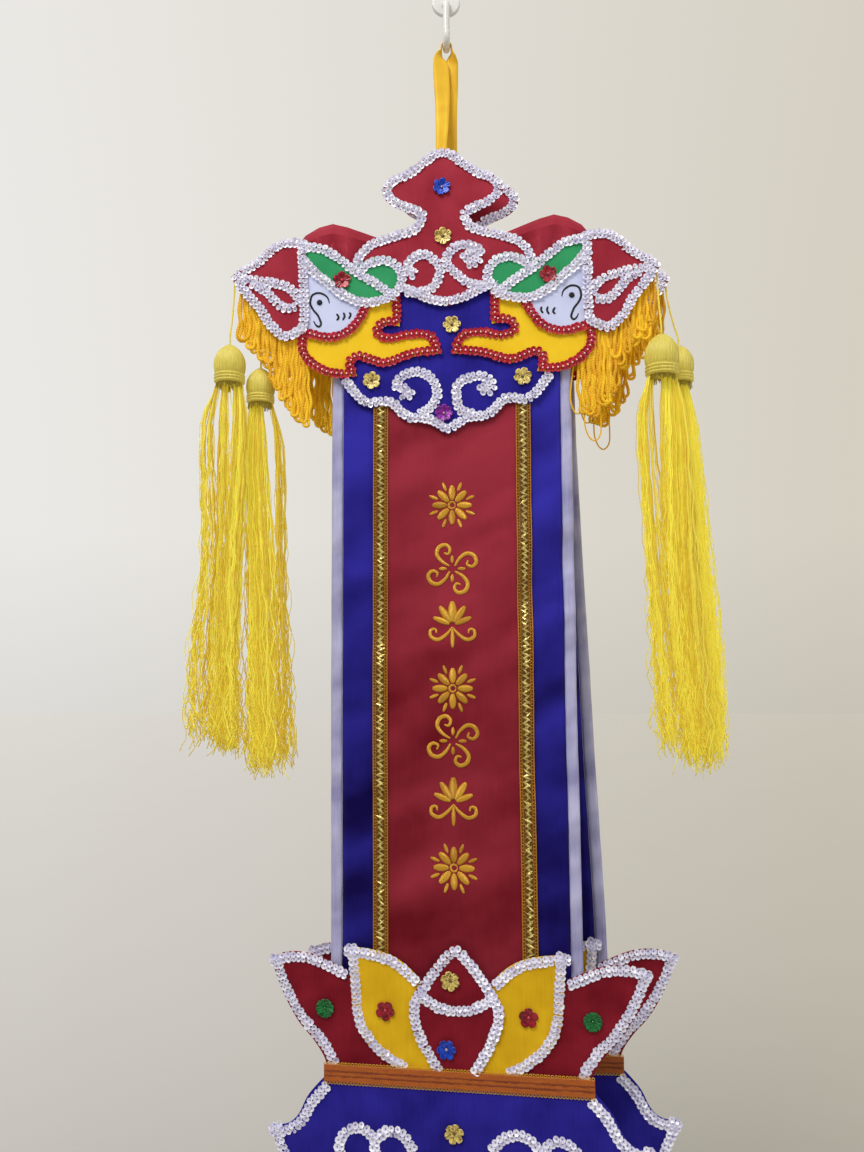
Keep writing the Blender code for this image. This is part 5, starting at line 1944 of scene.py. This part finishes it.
@dataclass
class Canopy:
    """Satin folded over between the two heads, creased to a ridge."""

    side: str
    lift: float
    thick: float = 1.1
    hem: float = -150.0
    ridge: tuple[Triple, ...] = (
        (62, -104, 9), (66, -90, 9), (81, -84, 8), (98, -77.5, 0), (113, -73.5, 8), (127, -77, 0),
        (141, -85, 9), (148, -94, 10), (150, -108, 10),
    )

    def build(self) -> None:
        """Fold the satin.

        Along the ridge, raised by the lift, each row rises from the front hem, leans
        in by four fifths of its height's share, turns over the ridge and falls to the
        back hem. The ridge's third column is how far a row is pushed in, which makes
        the facets.
        """
        sign = 1.0 if self.side == "right" else -1.0
        ridge = np.array(self.ridge)
        at = np.linspace(0, len(ridge) - 1, 4 * (len(ridge) - 1) + 1)
        line = join(*(np.interp(at, np.arange(len(ridge)), column) for column in ridge.T))
        lay = FRONT.board(FRONT.head)
        base = lay(join(sign * line[:, 0], self.hem, -GAP))
        crest = lay(join(sign * line[:, 0], line[:, 1] + self.lift, -GAP))
        near = base[:, 1]
        far = BACK.depth_at(base[:, 0], base[:, 2]) - 4 * PITCH
        spine = (near + far) / 2
        rise = (0, 0.2, 0.4, 0.6, 0.75, 0.86, 0.94, 0.98)
        share = np.array((*rise, 1.0, *reversed(rise)))
        lean = np.where(share == 1.0, 1.0, 0.8 * share + 0.2 * np.clip((share - 0.86) / 0.14, 0, 1) ** 2)
        half = len(share) // 2
        foot = np.stack([near] * half + [spine] + [far] * half, 1)
        push = line[:, 2:] * np.sin(math.pi * np.clip(share * 1.15, 0, 1)) * np.sign(spine[:, None] - foot)
        y = foot + (spine[:, None] - foot) * lean + push
        x = base[:, :1] + (crest[:, :1] - base[:, :1]) * share
        z = base[:, 2:] + (crest[:, 2:] - base[:, 2:]) * share
        outer = join(x, y, z)
        inside = np.sign(spine[:, None] - foot) * self.thick * (1 - 0.6 * share)
        inner = join(x, y + inside, z - self.thick * share ** 6 * 1.2)
        along = measured(line)
        over = np.concatenate((z[0, :half], 2 * z[0, half] - z[0, half:]))
        shapes = Surfaces()
        shapes.slab(outer, inner, join(along[:, None], over, 0.0), smooth=False)
        node = f"canopy_{self.side}"
        made = put(f"{node}_satin", shapes, HEAD_RED, None, (node,))


# --- Studio


@dataclass
class Studio:
    """Pale floor, soft lights and the camera at the photo's angle."""

    floor_height: float = -1.6
    floor_half: float = 9.0
    lens: float = 27.5
    sensor: float = 36.0
    stand: Triple = (-0.0149, -0.900, -0.6656)
    tip: float = 93.5
    aim: Triple = (0.0, -0.03, -0.6)

    def floor(self) -> None:
        """Lay the floor, a wide thin slab."""
        side = np.linspace(-self.floor_half, self.floor_half, 9) / MM
        grid = np.meshgrid(side, side)
        top = self.floor_height / MM
        shapes = Surfaces()
        shapes.slab(join(*grid, top), join(*grid, top - 20), smooth=False)
        shapes.build("floor", FLOOR)

    def light(self, name: str, place: Triple, size: float, power: float) -> None:
        """Add a soft square light that faces the banner's middle."""
        lamp = bpy.data.lights.new(name, "AREA")
        lamp.size = size
        lamp.energy = power
        made = bpy.data.objects.new(name, lamp)
        bpy.context.scene.collection.objects.link(made)
        made.location = place
        away = made.location - type(made.location)(self.aim)
        made.rotation_euler = away.to_track_quat("Z", "Y").to_euler()

    def camera(self) -> None:
        """Stand the camera in front of the banner, tipped up a little."""
        lens = bpy.data.cameras.new("camera")
        lens.lens = self.lens
        lens.sensor_width = self.sensor
        made = bpy.data.objects.new("camera", lens)
        made.location = self.stand
        made.rotation_euler = (math.radians(self.tip), 0.0, 0.0)
        bpy.context.scene.collection.objects.link(made)
        bpy.context.scene.camera = made

    def surround(self) -> None:
        """Pale room all round, even to the camera and darker on the room side where it lights."""
        world = bpy.data.worlds.new("studio")
        bench = Bench(world)
        across, deep, up = bench.split(bench.node("ShaderNodeTexCoord").outputs["Generated"])
        seen = bench.mix((across * 1.2 + 0.5).kept(), DyeAndShade.WALL_COOL.light(), DyeAndShade.WALL_WARM.light())
        wall = bench.tree.nodes["Background"]
        bench.feed(wall, {"Color": seen, "Strength": (up * 0.7 + 0.928).kept()})
        power = 0.62 - 0.5 * (deep * -1.0).kept() + 0.25 * up.kept()
        soft = bench.node("ShaderNodeBackground", None, {"Color": DyeAndShade.WALL_COOL.light(), "Strength": power})
        looked_at = bench.node("ShaderNodeLightPath").outputs["Is Camera Ray"]
        both = bench.node("ShaderNodeMixShader", None, {0: looked_at, 1: soft.outputs[0], 2: wall.outputs[0]})
        bench.feed(bench.tree.nodes["World Output"], {"Surface": both.outputs[0]})
        bpy.context.scene.world = world

    def build(self) -> None:
        """Set up the floor, world, lights and camera."""
        self.floor()
        self.surround()
        bpy.context.scene.view_settings.view_transform = "Standard"
        self.light("key", (-0.9, -1.5, 1.5), size=1.1, power=46.0)
        self.light("fill", (1.9, -1.6, 0.4), size=1.6, power=14.0)
        self.camera()


def main() -> None:
    """Build the banner piece by piece."""
    logging.basicConfig(level=logging.INFO, format="%(name)s: %(message)s")
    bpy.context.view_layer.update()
    Studio().build()
    WallHook().build()
    HangingLoop().build()
    Canopy("left", 2.5).build()
    Canopy("right", 6.0).build()
    for face in (FRONT, BACK):
        Head(face).build()
        Body(face).build()
        LotusSkirt(face).build()
        for side in ("left", "right"):
            Fringe(face, side).build()
    for row in (
        Tassel("front_left", FRONT, -212, (-217.5, -33, -380), (-36, -768), 1.0, (
            (-12, -21, -16, -24, -23, 8, 0, 0.6), (-5, -6, -7, -11, -10, 9, 4, 0.6),
            (9, 12, 7, 4, 4, 8, -6, 2.4),
        )),
        Tassel("back_left", BACK, -207, (-189, -19.5, -400), (-21, -797), 0.92, (
            (-2, -2, 4, 8, 11, 11, 0, 2.2), (-9, -7, -3, -1, 2, 5, 8, 0.9),
            (12, 20, 23, 28, 30, 6, 6, 0.4),
        )),
        Tassel("front_right", FRONT, 212, (210.5, -51, -375), (-56, -783), 1.06, (
            (-12, -17, -9, -1, 6, 10, 8, 1.4), (1, 0, 2, 12, 19, 9, 0, 1.2),
            (8, 8, 9, 17, 24, 9, 0, 1.3), (12, 18, 21, 27, 33, 9, -4, 1.4),
        )),
        Tassel("back_right", BACK, 212, (236, -18.5, -376), (-19, -785), 0.98, (
            (-8, -2, 6, 13, 19, 9, 6, 1.2), (4, 11, 18, 28, 28, 8, 0, 1.5),
        )),
    ):
        row.build()


if __name__ == "__main__":
    main()
